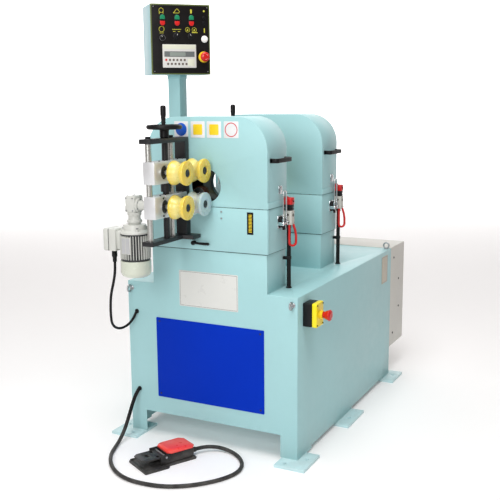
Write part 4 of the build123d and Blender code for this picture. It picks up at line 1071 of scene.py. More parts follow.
makeRodNuts(rollerUnit)


# Ground rods that carry the upper block, with chamfered ends
def makeGuideRods(unit):
    bm = bmesh.new()
    for front in unitFronts:
        for place in unit["rods"]:
            addTurned(bm, mm((0, 0), (11, 0), (11.9, 1), (11.9, 372.5), (11, 373), (0, 373)),
                    (unit["rodX"], front - place, 0.914), (0, 0, 1))
    meshPiece("guideRods", bm, "groundSteel", "root", ("guide_rods",))


makeGuideRods(rollerUnit)

rollerShape = {"half": 0.034, "flange": 0.047, "waist": 0.037, "flat": 0.0085, "hub": 0.0175, "shaft": 0.01}


def rollerProfile(shape):
    half, flange, waist = shape["half"], shape["flange"], shape["waist"]
    reach = half - shape["flat"]
    points = [(0.0, -half + 0.002), (0.02, -half + 0.002), (0.022, -half), (flange - 0.003, -half),
            (flange - 0.0009, -half + 0.0009), (flange, -half + 0.003)]
    steps = 22
    for k in range(steps + 1):
        t = -1 + 2 * k / steps
        sag = (1 + math.cos(math.pi * t)) / 2
        points.append((flange - (flange - waist) * sag ** 0.8, t * reach))
    points += [(flange, half - 0.003), (flange - 0.0009, half - 0.0009), (flange - 0.003, half),
            (shape["hub"] + 0.0015, half), (shape["hub"], half - 0.0015), (shape["hub"], half - 0.004),
            (0.0, half - 0.004)]
    return points


def addRoller(bm, y, z, shape, tyre):
    addTurned(bm, rollerProfile(shape), (0, y, z), (1, 0, 0), 72, tyre)
    half = shape["half"]
    addTurned(bm, ((0.0, -0.081), (shape["shaft"], -0.081), (shape["shaft"], 0.0), (0, 0)),
            (-half + 0.0002, y, z), (1, 0, 0), 32, 2)
    addTurned(bm, ((0.0, half - 0.0042), (0.0145, half - 0.0042), (0.0145, half - 0.0024),
            (0.0128, half - 0.0012), (0.0095, half - 0.001), (0.009, half - 0.0016),
            (0.0056, half - 0.0018), (0.005, half - 0.0036), (0, half - 0.0036)), (0, y, z), (1, 0, 0), 30,
            1)


def makeRollers(unit, shape):
    jobs = []
    front = unitFronts[0]
    for level, word in ((1, "upper"), (-1, "lower")):
        for place, side in zip(unit["rollers"], ("front", "rear")):
            node = "roller_%s_%s" % (word, side)
            grey = word == "lower" and side == "rear"
            jobs.append((node, node, [(front - place, tubeHeight + level * unit["rise"])],
                    "greyPolyurethane" if grey else "yellowPolyurethane",
                    "grey_polyurethane" if grey else "yellow_polyurethane"))
    front = unitFronts[1]
    for level, word, body in ((1, "upper", "carriage_2"), (-1, "lower", "root")):
        jobs.append((word + "_rollers_2", body, [(front - place, tubeHeight + level * unit["rise"])
                for place in unit["rollers"]], "yellowPolyurethane", "yellow_polyurethane"))
    for node, body, spots, tyre, slot in jobs:
        bm = bmesh.new()
        for y, z in spots:
            addRoller(bm, y, z, shape, 0)
        meshPiece(camel(node), bm, (tyre, "blackSteel", "chrome"), body, (node,), 25)


makeRollers(rollerUnit, rollerShape)

handwheel = {"radius": 0.07, "bottom": 1.338, "thickness": 0.018, "hub": 0.018, "gripX": 0.028,
        "gripY": -0.0485, "screwBottom": 0.9, "screw": 0.013, "threadPitch": 0.005}


def makeHandwheel(wheel, index):
    front = unitFronts[index - 1]
    x, y = rollerUnit["screwX"], front - rollerUnit["screwPlace"]
    bm = bmesh.new()
    bottom, top = wheel["bottom"], wheel["bottom"] + wheel["thickness"]
    r = wheel["radius"]
    addTurned(bm, ((0.0, -0.0327), (0.0145, -0.0327), (wheel["hub"], -0.03), (wheel["hub"], -0.004),
            (0.022, 0.001), (0.04, 0.004), (r - 0.016, 0.0035), (r - 0.012, 0.0005), (r - 0.006, 0.0),
            (r - 0.0015, 0.0035), (r, 0.009), (r - 0.0015, 0.0145), (r - 0.006, 0.018), (r - 0.012, 0.0175),
            (r - 0.016, 0.0125), (0.04, 0.011), (0.024, 0.0125), (0.021, 0.0165), (0.018, 0.018),
            (0.009, 0.018), (0.0085, 0.0155), (0, 0.0155)), (x, y, bottom), (0, 0, 1), 64)
    addTurned(bm, mm((0, -1), (7.2, -1), (7.2, 6), (8.5, 6.5), (8.8, 10), (8.2, 13), (8.6, 22), (9.8, 32),
            (10.9, 40), (11, 64), (10.4, 69.5), (8.4, 72.8), (5, 73.9), (0, 74)),
            (x + wheel["gripX"], y + wheel["gripY"], top - 0.0002), (0, 0, 1), 32)
    length = wheel["bottom"] - 0.03 - wheel["screwBottom"]
    core = wheel["screw"] - 0.0008
    addTurned(bm, ((0, 0), (core - 0.001, 0), (core, 0.001), (core, length), (0, length)),
            (x, y, wheel["screwBottom"]), (0, 0, 1), 24, 1)
    pitch = wheel["threadPitch"]
    addRidges(bm, int(length / pitch) - 1, pitch, core, 0.0008, "blackSteel",
            Matrix.Translation((x, y, wheel["screwBottom"] + pitch)), 1)
    meshPiece("handwheel%d" % index, bm, ("blackPlastic", "blackSteel"), "handwheel_%d" % index,
            ("handwheel_%d" % index,))


for index in (1, 2):
    makeHandwheel(handwheel, index)

gearMotor = {"x": -0.217, "place": 0.197, "cowlBottom": 0.757, "boxTop": 1.082, "radius": 0.061,
        "core": 0.0525, "fins": 34, "finThickness": 0.0024}


def makeGearMotors(motor):
    bm = bmesh.new()
    for front in unitFronts:
        spot = Vector((motor["x"], front - motor["place"], 0))
        r = motor["radius"]
        # fan cowl with a rolled lip
        low = motor["cowlBottom"]
        cowl = [(0, low), (0.034, low)]
        for k in range(9):
            a = math.radians(90 * k / 8)
            cowl.append((r - 0.022 + 0.022 * math.sin(a), low + 0.022 - 0.022 * math.cos(a)))
        cowl += [(r, 0.8225), (r - 0.0012, 0.824), (r - 0.004, 0.824), (0.05, 0.8236)]
        addTurned(bm, cowl, spot, (0, 0, 1), 64, 1)
        # finned body, its core dark grey as painted shade between the fins; end shield, neck
        addTurned(bm, ((0.0, 0.822), (motor["core"], 0.822), (motor["core"], 0.936), (0, 0.936)), spot,
                (0, 0, 1), 48, 2)
        addTurned(bm, mm((0, 932), (58.5, 932), (59.8, 933.5), (59.8, 938.5), (56, 942), (47, 947),
                (46, 949), (46, 963), (44, 966.5), (40, 968), (0, 968)), spot, (0, 0, 1), 56)
        addTurned(bm, mm((0, 966), (24.5, 966), (24.5, 975), (30, 976.2), (30, 984.5), (28.5, 986),
                (25.5, 987), (24, 992), (24, 1002), (27.5, 1004.5), (27.5, 1016.5), (0, 1017)), spot,
                (0, 0, 1), 44)
        for k in range(4):
            a = math.radians(45 + 90 * k)
            lug = spot + Vector((0.047 * math.cos(a), 0.047 * math.sin(a), 0.94))
            addTurned(bm, mm((0, 0), (8.5, 0), (8.5, 12), (7.5, 13.2), (0, 13.2)), lug, (0, 0, 1), 18)
            addHexNut(bm, lug + Vector((0, 0, 0.013)), (0, 0, 1), 0.009, 0.005, 3)
        # worm gearbox: rounded case, output flange and side cover with their screws
        addBlock(bm, (motor["x"] - 0.0225, spot.y - 0.0325, 1.0165),
                (motor["x"] + 0.0225, spot.y + 0.0325, motor["boxTop"]), 0.006, 3)
        output = (motor["x"] + 0.022, spot.y, tubeHeight - rollerUnit["rise"])
        addTurned(bm, mm((0, 0), (28.5, 0), (28.5, 6), (27, 7.5), (20.5, 8.5), (19.5, 12), (19.5, 62),
                (23.5, 63.5), (23.5, 73.5), (0, 73.5)), output, (1, 0, 0))
        screws = []
        for k in range(6):
            a = math.radians(30 + 60 * k)
            screws.append((Vector(output) + Vector((0.0062, 0.0238 * math.cos(a), 0.0238 * math.sin(a))),
                    (1, 0, 0)))
        for sx, sz in ((-1, -1), (-1, 1), (1, -1), (1, 1)):
            screws.append(((motor["x"] + sx * 0.015, spot.y - 0.032, 1.049 + sz * 0.0245), (0, -1, 0)))
            screws.append(((motor["x"] + sx * 0.014, spot.y + sz * 0.022, 1.0815), (0, 0, 1)))
        addScrews(bm, screws, 0.72, 3)
        values = {"Count": motor["fins"], "Inner": motor["core"] - 0.001, "Outer": r - 0.0003,
                "Thickness": motor["finThickness"], "Length": 0.094, "Material": finishes["motorGrey"]}
        joinInto(bm, growMesh("fins", finRing, values, Matrix.Translation((spot.x, spot.y, 0.8795))))
        # dark rings at both ends of the fins: painted shade
        for z in (0.8295, 0.9295):
            addTurned(bm, mm((50, -4), (57.2, -4), (58, -3.2), (58, 3.2), (57.2, 4), (50, 4)),
                    spot + Vector((0, 0, z)), (0, 0, 1), 48, 2)
        # rating plate on the operator's side
        toward = Vector((-0.08, -1.0, 0)).normalized()
        plateFrame = faceFrame(spot + toward * (r - 0.0035) + Vector((0, 0, 0.888)), toward, (1, 0, 0))
        addBlock(bm, (-0.022, -0.034, -0.006), (0.022, 0.034, 0.0022), 0.0018, 2, plateFrame)
        addBlock(bm, (-0.0195, -0.031, 0.0018), (0.0195, 0.031, 0.0027), 0.0003, 1, plateFrame, 4)
    meshPiece("gearMotors", bm, ("motorGrey", "cowlSilver", "motorShadow", "steel", "ratingSilver"), "root",
            ("gear_motors",))


makeGearMotors(gearMotor)

terminalBox = {"out": 0.066, "width": 0.084, "bottom": 0.859, "height": 0.09, "lid": 0.026,
        "sides": ((-1, 0, 0), (0, -1, 0))}


def makeTerminalBoxes(box, motor):
    bm = bmesh.new()
    glands = bmesh.new()
    for front, side in zip(unitFronts, box["sides"]):
        spot = Vector((motor["x"], front - motor["place"], box["bottom"]))
        place = faceFrame(spot, (0, 0, 1), side)
        near, far = motor["radius"] - 0.01, motor["radius"] + box["out"]
        half = box["width"] / 2
        addBlock(bm, (near, -0.03, 0.008), (motor["radius"] + 0.01, 0.03, box["height"] - 0.008), 0.003, 2,
                place)
        addBlock(bm, (motor["radius"] + 0.006, -half, 0.0), (far - box["lid"], half, box["height"]), 0.005,
                3, place)
        # thin dark strip between box and lid: painted shade in the seam
        addBlock(bm, (far - box["lid"] - 0.001, -half + 0.0015, 0.0015),
                (far - box["lid"] + 0.001, half - 0.0015, box["height"] - 0.0015), 0.0, 1, place, 1)
        addBlock(bm, (far - box["lid"] + 0.001, -half, 0.0), (far, half, box["height"]), 0.007, 4, place)
        spots = []
        for sy in (-1, 1):
            for sz in (0.01, box["height"] - 0.01):
                spots.append((place @ Vector((far - 0.0018, sy * (half - 0.01), sz)),
                        place.to_3x3() @ Vector((1, 0, 0))))
        addScrews(bm, spots, 0.8, 2)
        exitSpot = place @ Vector((motor["radius"] + box["out"] - 0.024, 0, 0))
        down = Vector((0, 0, -1))
        addTurned(glands, mm((0, -1), (12.5, -1), (12.5, 4), (11.8, 4.5), (9, 5), (0, 5)), exitSpot, down,
                32, 1)
        addHexNut(glands, exitSpot + down * 0.0045, down, 0.0205, 0.009)
        addTurned(glands, mm((0, 0), (10.8, 0), (11.2, 3), (11.2, 14), (9.8, 17.5), (8.6, 20), (8, 32),
                (7.2, 37.5), (0, 38)), exitSpot + down * 0.0135, down, 32)
        addRidges(glands, 6, 0.0027, 0.0079, 0.0009, "blackPlastic",
                Matrix.Translation(exitSpot + down * 0.0495))
    for x, z in ((-0.357, 0.552), (-0.356, 0.202)):
        out = Vector((0, -1, 0))
        spot = Vector((x, baseFront, z))
        addTurned(glands, mm((0, 0), (10, 0), (10, 2.6), (9.2, 3.4), (8.5, 3.6), (8, 5.6), (6.8, 6),
                (0, 6)), spot, out, 30)
    meshPiece("terminalBoxes", bm, ("motorGrey", "motorShadow", "steel"), "root",
            ("terminal_boxes",))
    meshPiece("cordGlands", glands, ("blackPlastic", "steel"), "root", ("cord_glands",))


makeTerminalBoxes(terminalBox, gearMotor)

clampLever = {"x": -0.058, "height": 0.875}


def makeClampLevers(lever):
    bm = bmesh.new()
    for front in headFronts:
        hub = Vector((lever["x"], front, lever["height"]))
        addTurned(bm, mm((0, 0), (7.5, 0), (7.5, 6), (9, 6.5), (9, 17.5), (8, 19.5), (4.5, 19.8), (4.2, 18),
                (0, 18)), hub, (0, -1, 0), 28)
        path = mmFrom(hub, (6, -14, 0), (18, -14, 0), (36, -14, -0.6), (58, -14, -0.6), (72, -14, 0))
        rings = []
        for point, half in zip(path, (0.005, 0.0048, 0.0056, 0.006, 0.0058)):
            rings.append([bm.verts.new(point + Vector((0, math.cos(a) * half * 0.85, math.sin(a) * half)))
                    for a in roundSteps(16)])
        tip, tail = path[-1] + Vector((0.0052, 0, 0)), path[0] - Vector((0.002, 0, 0))
        skinRings(bm, [[bm.verts.new(tail)], *rings, [bm.verts.new(tip)]])
    bmesh.ops.recalc_face_normals(bm, faces=bm.faces)
    meshPiece("clampLevers", bm, "blackPlastic", "root", ("clamp_levers",))


makeClampLevers(clampLever)
print("roller units made")


# Fittings on the right side of the heads, and hinges on the left

sideFittings = {"x": 0.273, "latchPlace": 0.112, "latchPivot": 0.959, "latchOut": 0.023, "wire": 0.0029,
        "wireWidth": 0.036, "wireTop": 1.092, "switchPlace": 0.16, "hose": 0.009,
        "handleHeight": 1.214, "handleFront": 0.022, "handleBack": 0.166, "handleOut": 0.034,
        "handleWide": 0.018, "strap": 0.007}


def arcPoints(centre, first, second, radius, start, end, steps):
    return [Vector(centre) + (Vector(first) * math.cos(a) + Vector(second) * math.sin(a)) * radius
            for a in (math.radians(start + (end - start) * k / steps) for k in range(steps + 1))]


# Flat strap with rounded edges along a path; across is the strap's wide direction
def addStrap(bm, points, across, wide, thick, finish=0):
    points = [Vector(p) for p in points]
    across = Vector(across).normalized()
    section = roundedLoop(wide, thick, thick * 0.42, steps=3)
    rings = []
    for k, point in enumerate(points):
        tangent = (points[min(k + 1, len(points) - 1)] - points[max(k - 1, 0)]).normalized()
        normal = tangent.cross(across).normalized()
        rings.append([bm.verts.new(point + across * u + normal * v) for u, v in section])
    skinRings(bm, rings, finish, capped=True)


def makeHoodFittings(fit, index):
    front = headFronts[index - 1]
    bm = bmesh.new()
    # grab handle: a moulded strap on two feet
    x, z = fit["x"], fit["handleHeight"]
    y0, y1 = front + fit["handleFront"] + 0.004, front + fit["handleBack"] - 0.004
    out, middle, bend = x + fit["handleOut"] - fit["strap"] / 2, (y0 + y1) / 2, 0.01
    path = [(x, y0, z), (x + 0.01, y0, z)]
    path += arcPoints((out - bend, y0 + bend, z), (0, -1, 0), (1, 0, 0), bend, 0, 90, 6)
    path += [(out + 0.0003, middle - 0.03, z), (out + 0.0003, middle + 0.03, z)]
    path += arcPoints((out - bend, y1 - bend, z), (1, 0, 0), (0, 1, 0), bend, 0, 90, 6)
    path += [(x + 0.01, y1, z), (x, y1, z)]
    addStrap(bm, path, (0, 0, 1), fit["handleWide"], fit["strap"])
    for y in (y0, y1):
        blockAt(bm, (x, y, z), (0, -3.5, -9), (12, 3.5, 9), 2)
    # catch that the latch wire hooks over
    spot = (x, front + fit["latchPlace"], 1.0)
    blockAt(bm, spot, (0, -11.5, 76.5), (2.5, 11.5, 109.5), 0.8, 2, 1)
    hook = mmFrom(spot, (2, 0, 78), (6, 0, 78), (7.2, 0, 83), (7.2, 0, 102), (6.8, 0, 108))
    addStrap(bm, hook, (0, 1, 0), 0.0165, 0.0024, 1)
    # red actuator head of the interlock on its plate
    spot = (x, front + fit["switchPlace"], 1.0)
    blockAt(bm, spot, (0, -16, 30), (4, 16, 64), 0.8, 2, 2)
    blockAt(bm, spot, (3.5, -15.5, 30), (38, 16, 59), 4, 3, 3)
    blockAt(bm, spot, (8, -12.5, 58.5), (18, 0, 64), 1.5, 2, 3)
    blockAt(bm, spot, (4, -15, 18.8), (36, 15, 31), 2)
    addScrews(bm, [((x + 0.0378, spot[1], 1.0445), (1, 0, 0))], 0.8)
    # moving halves of the hinges
    for place in (0.04, 0.136):
        hinge = (-0.281, front + place - 0.025 + 0.0503 / 3, 1.025)
        addTurned(bm, mm((4.4, 0), (6.6, 0), (7, 0.5), (7, 15.8), (6.6, 16.3), (4.4, 16.3), (4.4, 0)),
                hinge, (0, 1, 0), 28, 4)
        blockAt(bm, hinge, (0.5, 0.3, 3.5), (7.9, 16, 20), 0.8, 1, 4)
        blockAt(bm, hinge, (3.5, -12, 8), (8.1, 28.3, 20), 0.6, 1, 4)
    meshPiece("hoodFittings%d" % index, bm, ("blackPlastic", "chrome", "steel", "safetyRed",
            "machinePaint"), "hood_%d" % index, ("hood_fittings_%d" % index,))


def makeLatch(fit, index):
    y = headFronts[index - 1] + fit["latchPlace"]
    x = fit["x"] + fit["latchOut"]
    half, bend = fit["wireWidth"] / 2 - fit["wire"] - 0.0004, 0.009
    top, bottom = fit["wireTop"] - fit["wire"] - 0.0003, fit["latchPivot"] + 0.002
    bm = bmesh.new()
    path = [(x, y - half, bottom), (x, y - half, bottom + 0.03), (x, y - half, top - bend)]
    path += arcPoints((x, y - half + bend, top - bend), (0, -1, 0), (0, 0, 1), bend, 0, 90, 6)[1:]
    path += arcPoints((x, y + half - bend, top - bend), (0, 0, 1), (0, 1, 0), bend, 0, 90, 6)
    path += [(x, y + half, bottom + 0.03), (x, y + half, bottom)]
    addBar(bm, path, fit["wire"], 14)
    addTurned(bm, mm((0, 0), (4.8, 0), (5.2, 0.5), (5.2, 35), (4.8, 35.5), (0, 35.5)),
            (x, y - 0.01775, fit["latchPivot"]), (0, 1, 0), 24)
    for side in (-1, 1):
        spot = Vector((x, y + side * half, fit["latchPivot"] + 0.01))
        addHexNut(bm, spot, (0, 0, 1), 0.0082, 0.005)
        addHexNut(bm, spot + Vector((0, 0, 0.0055)), (0, 0, 1), 0.0082, 0.004)
        addRidges(bm, 12, 0.0016, fit["wire"], 0.0003, "chrome",
                Matrix.Translation(spot + Vector((0, 0, 0.01))))
    meshPiece("hoodLatch%d" % index, bm, ("chrome", "blackPlastic"), "hood_latch_%d" % index,
            ("hood_latch_%d" % index,))


def makeLatchBases(fit):
    bm = bmesh.new()
    for front in headFronts:
        y = front + fit["latchPlace"]
        spot = (fit["x"], y, 0.9)
        blockAt(bm, spot, (0, -23, 40), (3, 23, 90), 1)
        blockAt(bm, spot, (2.5, -16, 42), (13.5, 16, 86), 3, 3, 1)
        for side in (-1, 1):
            low, high = sorted((side * 18.3, side * 22.9))
            blockAt(bm, spot, (2, low, 52), (28.5, high, 66), 1.4)
            addTurned(bm, mm((0, 0), (4.6, 0), (4.6, 1), (3.8, 1.8), (0, 1.8)),
                    (fit["x"] + fit["latchOut"], y + side * 0.0222, fit["latchPivot"]), (0, side, 0), 20)
        corners = [((fit["x"] + 0.0028, y + sy * 0.0195, z), (1, 0, 0)) for sy in (-1, 1)
                for z in (0.9455, 0.9845)]
        addScrews(bm, corners, 0.62)
        # short black lever folded down in front of the base
        lever = mmFrom(spot, (12.5, 0, 56), (16, 0, 50), (18, 0, 42), (20, 0, 33))
        addStrap(bm, lever, (0, 1, 0), 0.024, 0.004, 1)
    meshPiece("latchBases", bm, ("chrome", "blackPlastic"), "root", ("latch_bases",))


def makeInterlocks(fit):
    bm = bmesh.new()
    hoses = bmesh.new()
    hoseX = fit["x"] + 0.019
    for front in headFronts:
        y = front + fit["switchPlace"]
        spot = (fit["x"], y, 0.9)
        blockAt(bm, spot, (0, -16, 48), (3, 16, 111), 0.8, 2, 2)
        blockAt(bm, spot, (2.5, -16, 48), (38, 16, 106), 3.6, 3)
        blockAt(bm, spot, (4, -14, 105), (36, 15, 118), 2.8, 3, 1)
        addTurned(bm, mm((0, 0), (6.2, 0), (6.2, 0.8), (4.8, 1.2), (4.2, 0.2), (0, 0.2)),
                (fit["x"] + 0.0378, y, 0.988), (1, 0, 0), 28, 1)
        for z, r in ((0.99, 0.0052), (0.959, 0.007)):
            addTurned(bm, ((0, 0), (r, 0), (r, 0.001), (r - 0.0012, 0.0016), (r - 0.0018, 0.0006),
                    (0, 0.0006)), (fit["x"] + 0.021, y - 0.0158, z), (0, -1, 0), 24, 1)
        corners = [((fit["x"] + 0.0376, y + sy * 0.0115, z), (1, 0, 0)) for z in (1.0005, 0.956)
                for sy in (-1, 1)]
        addScrews(bm, corners, 0.55, 2)
        # red pull loop that hangs beside the hose
        near, far = mmFrom((fit["x"], y, 0), (26, -11, 0), (45.5, 12.5, 0))
        along, up = (far - near).normalized(), Vector((0, 0, 1))
        bend = (far - near).length / 2
        low = up * (0.862 + bend)
        path = [near + up * 0.9495, near + up * 0.92, near + low]
        path += arcPoints((near + far) / 2 + low, -along, -up, bend, 0, 180, 12)[1:]
        path += [far + up * 0.9, far - along * 0.004 + up * 0.925, far - along * 0.0125 + up * 0.9495]
        addStrap(bm, path, (-along.y, along.x, 0), 0.0105, 0.009, 3)
        # hose from the switch down through the top plate, with its nuts and clip
        inner = fit["hose"] - 0.0008
        addTurned(hoses, ((0, 0), (inner, 0), (inner, 0.262), (0, 0.262)), (hoseX, y, 0.681), (0, 0, 1), 28)
        addRidges(hoses, 86, 0.0029, fit["hose"] - 0.0012, 0.0012, "cordRubber",
                Matrix.Translation((hoseX, y, 0.6865)))
        addHexNut(hoses, (hoseX, y, 0.935), (0, 0, 1), 0.0195, 0.013, 1, False)
        addTurned(hoses, mm((0, 0), (12.5, 0), (12.5, 2.8), (10.5, 3.6), (9.5, 6), (0, 6)),
                (hoseX, y, 0.685), (0, 0, 1), 28, 1)
        blockAt(hoses, spot, (0, -12.5, -95.5), (29.5, -8.5, -81.5), 1, 2, 1)
        blockAt(hoses, spot, (0, -20, -95.5), (2.2, -9, -81.5), 0.8, 1, 1)
        addTurned(hoses, mm((7.8, -6), (10.6, -6), (10.6, 6), (7.8, 6)), (hoseX, y, 0.8115), (0, 0, 1), 28,
                1)
    meshPiece("interlockSwitches", bm, ("switchGrey", "blackPlastic", "steel", "safetyRed"), "root",
            ("interlock_switches",))
    meshPiece("interlockHoses", hoses, ("cordRubber", "blackPlastic"), "root",
            ("interlock_hoses",))


def makeHinges():
    bm = bmesh.new()
    for front in headFronts:
        for place in (0.04, 0.136):
            x, y, z = -0.281, front + place - 0.025, 1.025
            addTurned(bm, mm((0, 0), (3.6, 0), (4, 0.5), (4, 49.5), (3.6, 50), (0, 50)), (x, y, z),
                    (0, 1, 0), 20, 1)
            for knuckle in (y, y + 0.03335):
                addTurned(bm, mm((3.8, 0), (6.6, 0), (7, 0.5), (7, 15.8), (6.6, 16.3), (3.8, 16.3)),
                        (x, knuckle, z), (0, 1, 0), 28)
                blockAt(bm, (x, knuckle, z), (0.5, 0.3, -20), (7.9, 16, -3.5), 0.8, 1)
            blockAt(bm, (x, y, z), (3.5, 0.5, -20), (8.1, 49.5, -8), 0.6, 1)
            addScrews(bm, [((-0.2773, y + along, 1.011), (-1, 0, 0)) for along in (0.008, 0.042)], 0.55, 1)
    meshPiece("hoodHinges", bm, ("machinePaint", "steel"), "root", ("hood_hinges",))


for index in (1, 2):
    makeHoodFittings(sideFittings, index)
    makeLatch(sideFittings, index)
makeLatchBases(sideFittings)
makeInterlocks(sideFittings)
makeHinges()
print("latches, interlocks and handles made")


# Control box, its panel and the stop buttons

controlBox = {"place": (-0.355, -0.236, 1.5613), "turn": 45, "width": 0.266, "depth": 0.165, "height": 0.3,
              "panelWidth": 0.254, "panelHeight": 0.288, "panelThickness": 0.003}


def boxFrame(box):
    turn = math.radians(box["turn"])
    out = Vector((math.sin(turn), -math.cos(turn), 0))
    right = Vector((math.cos(turn), math.sin(turn), 0))
    centre = Vector(box["place"]) + Vector((0, 0, box["height"] / 2))
    return faceFrame(centre, out, right)


boxPlace = boxFrame(controlBox)


# Folded sheet case: its own frame has x to the right, y up and z towards the operator
def makeControlBox(box):
    bm = bmesh.new()
    front, rear = box["depth"] / 2, -box["depth"] / 2
    wall = 0.002
    outer = roundedLoop(box["width"], box["height"], 0.0035, steps=4)
    inner = roundedLoop(box["panelWidth"] - 0.008, box["panelHeight"] - 0.008, 0.002, steps=4)
    rim = roundedLoop(box["width"] - 2 * wall, box["height"] - 2 * wall, 0.002, steps=4)
    addSheet(bm, [outer, rim], box["depth"] - 0.0095, 0.0004, lifted(boxPlace, rear + 0.0065))
    addSheet(bm, [outer, inner], 0.0036, 0.0006, lifted(boxPlace, front - 0.0046))
    addSheet(bm, [outer, inner], 0.0012, 0.0004, lifted(boxPlace, front - 0.0012), 1)
    addSheet(bm, [outer], 0.0132, 0.0062, lifted(boxPlace, rear))
    spots = cornerSpots(boxPlace, 0.112, 0.128, rear + 0.0004, -1)
    addScrews(bm, spots, 0.8)
    meshPiece("controlCase", bm, ("boxPaint", "rimOlive"), "control_box", ("control_box",))


makeControlBox(controlBox)

panelControls = {"doubleButtons": ((-0.081, 0.081), (-0.016, 0.081), (0.048, 0.081)),
        "buttonSize": (0.026, 0.052), "smallButtons": ((0.106, 0.092), (0.106, 0.072)),
        "knobs": ((-0.082, 0.006), (-0.02, 0.014), (0.046, 0.014)), "lamp": (0.107, 0.003),
        "stop": (0.102, -0.074), "display": (-0.008, -0.071), "displaySize": (0.151, 0.1)}


def makeControlPanel(box, controls):
    bm = bmesh.new()
    base = lifted(boxPlace, box["depth"] / 2)
    top = box["panelThickness"]
    loops = [roundedLoop(box["panelWidth"], box["panelHeight"], 0.004),
            circleLoop(0.0105, controls["stop"], 28)]
    addSheet(bm, loops, top, 0.0005, base)
    face = lifted(base, top - 0.0002)
    out = base.to_3x3() @ Vector((0, 0, 1))

    def disc(x, y, steps, finish, *profile):
        addTurned(bm, mm(*profile), face @ Vector((x, y, 0)), out, steps, finish)

    def mark(*loops, finish=7, thickness=0.0004, lift=0.0):
        addSheet(bm, loops, thickness, 0.00005, lifted(face, lift), finish)

    # double push buttons: green over red in one oval bezel
    wide, tall = controls["buttonSize"]
    for x, y in controls["doubleButtons"]:
        addSheet(bm, [roundedLoop(wide, tall, wide / 2 - 0.0002, (x, y), 10)], 0.0032, 0.0009, face, 3)
        upper = [(x + 0.0108 * math.cos(a), y + 0.012 + 0.0108 * math.sin(a) * 1.02)
                for a in (math.pi * k / 16 for k in range(17))] + [(x - 0.0108, y + 0.0035),
                (x + 0.0108, y + 0.0035)]
        lower = [(u, 2 * y - v) for u, v in reversed(upper)]
        addSheet(bm, [upper], 0.0032, 0.0008, lifted(face, 0.0028), 4)
        addSheet(bm, [lower], 0.0038, 0.001, lifted(face, 0.0028), 5)
    for x, y in controls["smallButtons"]:
        disc(x, y, 32, 3, (0, 0), (8.8, 0), (8.8, 1.8), (7.8, 2.6), (6.6, 2.6), (6.6, 5), (5.8, 6),
                (0, 6.2))
    # selector knobs with a pointer bar, the first with a bright collar
    for (x, y), turn in zip(controls["knobs"], (25, -30, 30)):
        disc(x, y, 40, 3, (0, 0), (14.5, 0), (14.5, 1.6), (12.8, 2.8), (11.2, 3), (10.8, 4.5), (0, 4.5))
        grip = face @ Matrix.Translation((x, y, 0)) @ Matrix.Rotation(math.radians(turn), 4, "Z")
        addBlock(bm, (-0.0042, -0.0115, 0.004), (0.0042, 0.0115, 0.0071), 0.0014, 3, grip, 3)
        addBlock(bm, (-0.0006, 0.003, 0.0068), (0.0006, 0.0108, 0.0073), 0.0002, 1, grip, 6)
    disc(*controls["knobs"][0], 40, 8, (11.2, 2.6), (12.6, 2.6), (12.8, 3.2), (12.4, 4.6), (11.4, 4.6),
            (11.2, 2.6))
    # white lamp, small lamp and corner screws
    disc(*controls["lamp"], 40, 6, (0, 0), (15, 0), (15, 1.5), (13.8, 2.4), (13.2, 2.4), (12.8, 4.2),
            (9.5, 5.8), (4.5, 6.8), (0, 7))
    disc(0.106, 0.122, 24, 7, (0, 0), (4.2, 0), (4, 1.2), (2.4, 2.2), (0, 2.6))
    addScrews(bm, cornerSpots(face, 0.12, 0.137, 0.0), 0.55, 8, "steel")
    # display unit: pale fascia, dark window and two rows of keys
    x, y = controls["display"]
    wide, tall = controls["displaySize"]
    addSheet(bm, [roundedLoop(wide, tall, 0.003, (x, y))], 0.0024, 0.0008, face, 9)
    lift = 0.0022
    mark(roundedLoop(0.136, 0.0235, 0.0012, (x, y + 0.0085)), finish=10, thickness=0.0006, lift=lift)
    mark(roundedLoop(0.07, 0.017, 0.0008, (x - 0.008, y + 0.0085)), finish=11, lift=lift + 0.0004)
    mark(roundedLoop(0.146, 0.018, 0.001, (x, y + 0.0395)), finish=12, thickness=0.0003, lift=lift)
    mark(roundedLoop(0.03, 0.03, 0.002, (x + 0.052, y - 0.027)), finish=12, thickness=0.0003, lift=lift)
    for row, (dy, shift) in enumerate(((-0.0165, -0.06), (-0.0335, -0.052))):
        for k in range(6):
            key = roundedLoop(0.0088, 0.0092, 0.0018, (x + shift + k * 0.0165, y + dy))
            addSheet(bm, [key], 0.0008, 0.00025, lifted(face, lift), 5 if row == k == 0 else 13)
    # plain line marks over the controls: rings, bars and a few drawn shapes
    for x, y, outer, inner in mm((-85, 122, 10.5, 8.8), (-85, 43, 12.5, 10.6), (31, 42, 10.5, 9),
            (61, 42, 10.5, 9)):
        mark(circleLoop(outer, (x, y), 28), circleLoop(inner, (x, y), 28))
    for x, y, width, height, corner in mm((-93.5, 112, 2.2, 12, 0.5), (-76.5, 112, 2.2, 12, 0.5),
            (48, 120, 7.5, 18, 3.5), (-85, 26.5, 18, 1.8, 0.4), (-18, 43, 40, 2, 0.4),
            (-29, 34, 11, 2, 0.4), (-8, 34, 11, 2, 0.4), (63, 30.5, 26, 3, 0.6), (107, 40, 4.5, 20, 2)):
        mark(roundedLoop(width, height, corner, (x, y)))
    for x in (31, 61):
        mark(mm((x - 4, 38), (x + 4, 38), (x, 47)))
    mark(mm((-33, 111), (-6, 111), (-2, 119), (-14, 131), (-20, 127)),
            mm((-28, 112.8), (-7.5, 112.8), (-4.2, 118.8), (-14.2, 128.5), (-19, 125.2)))
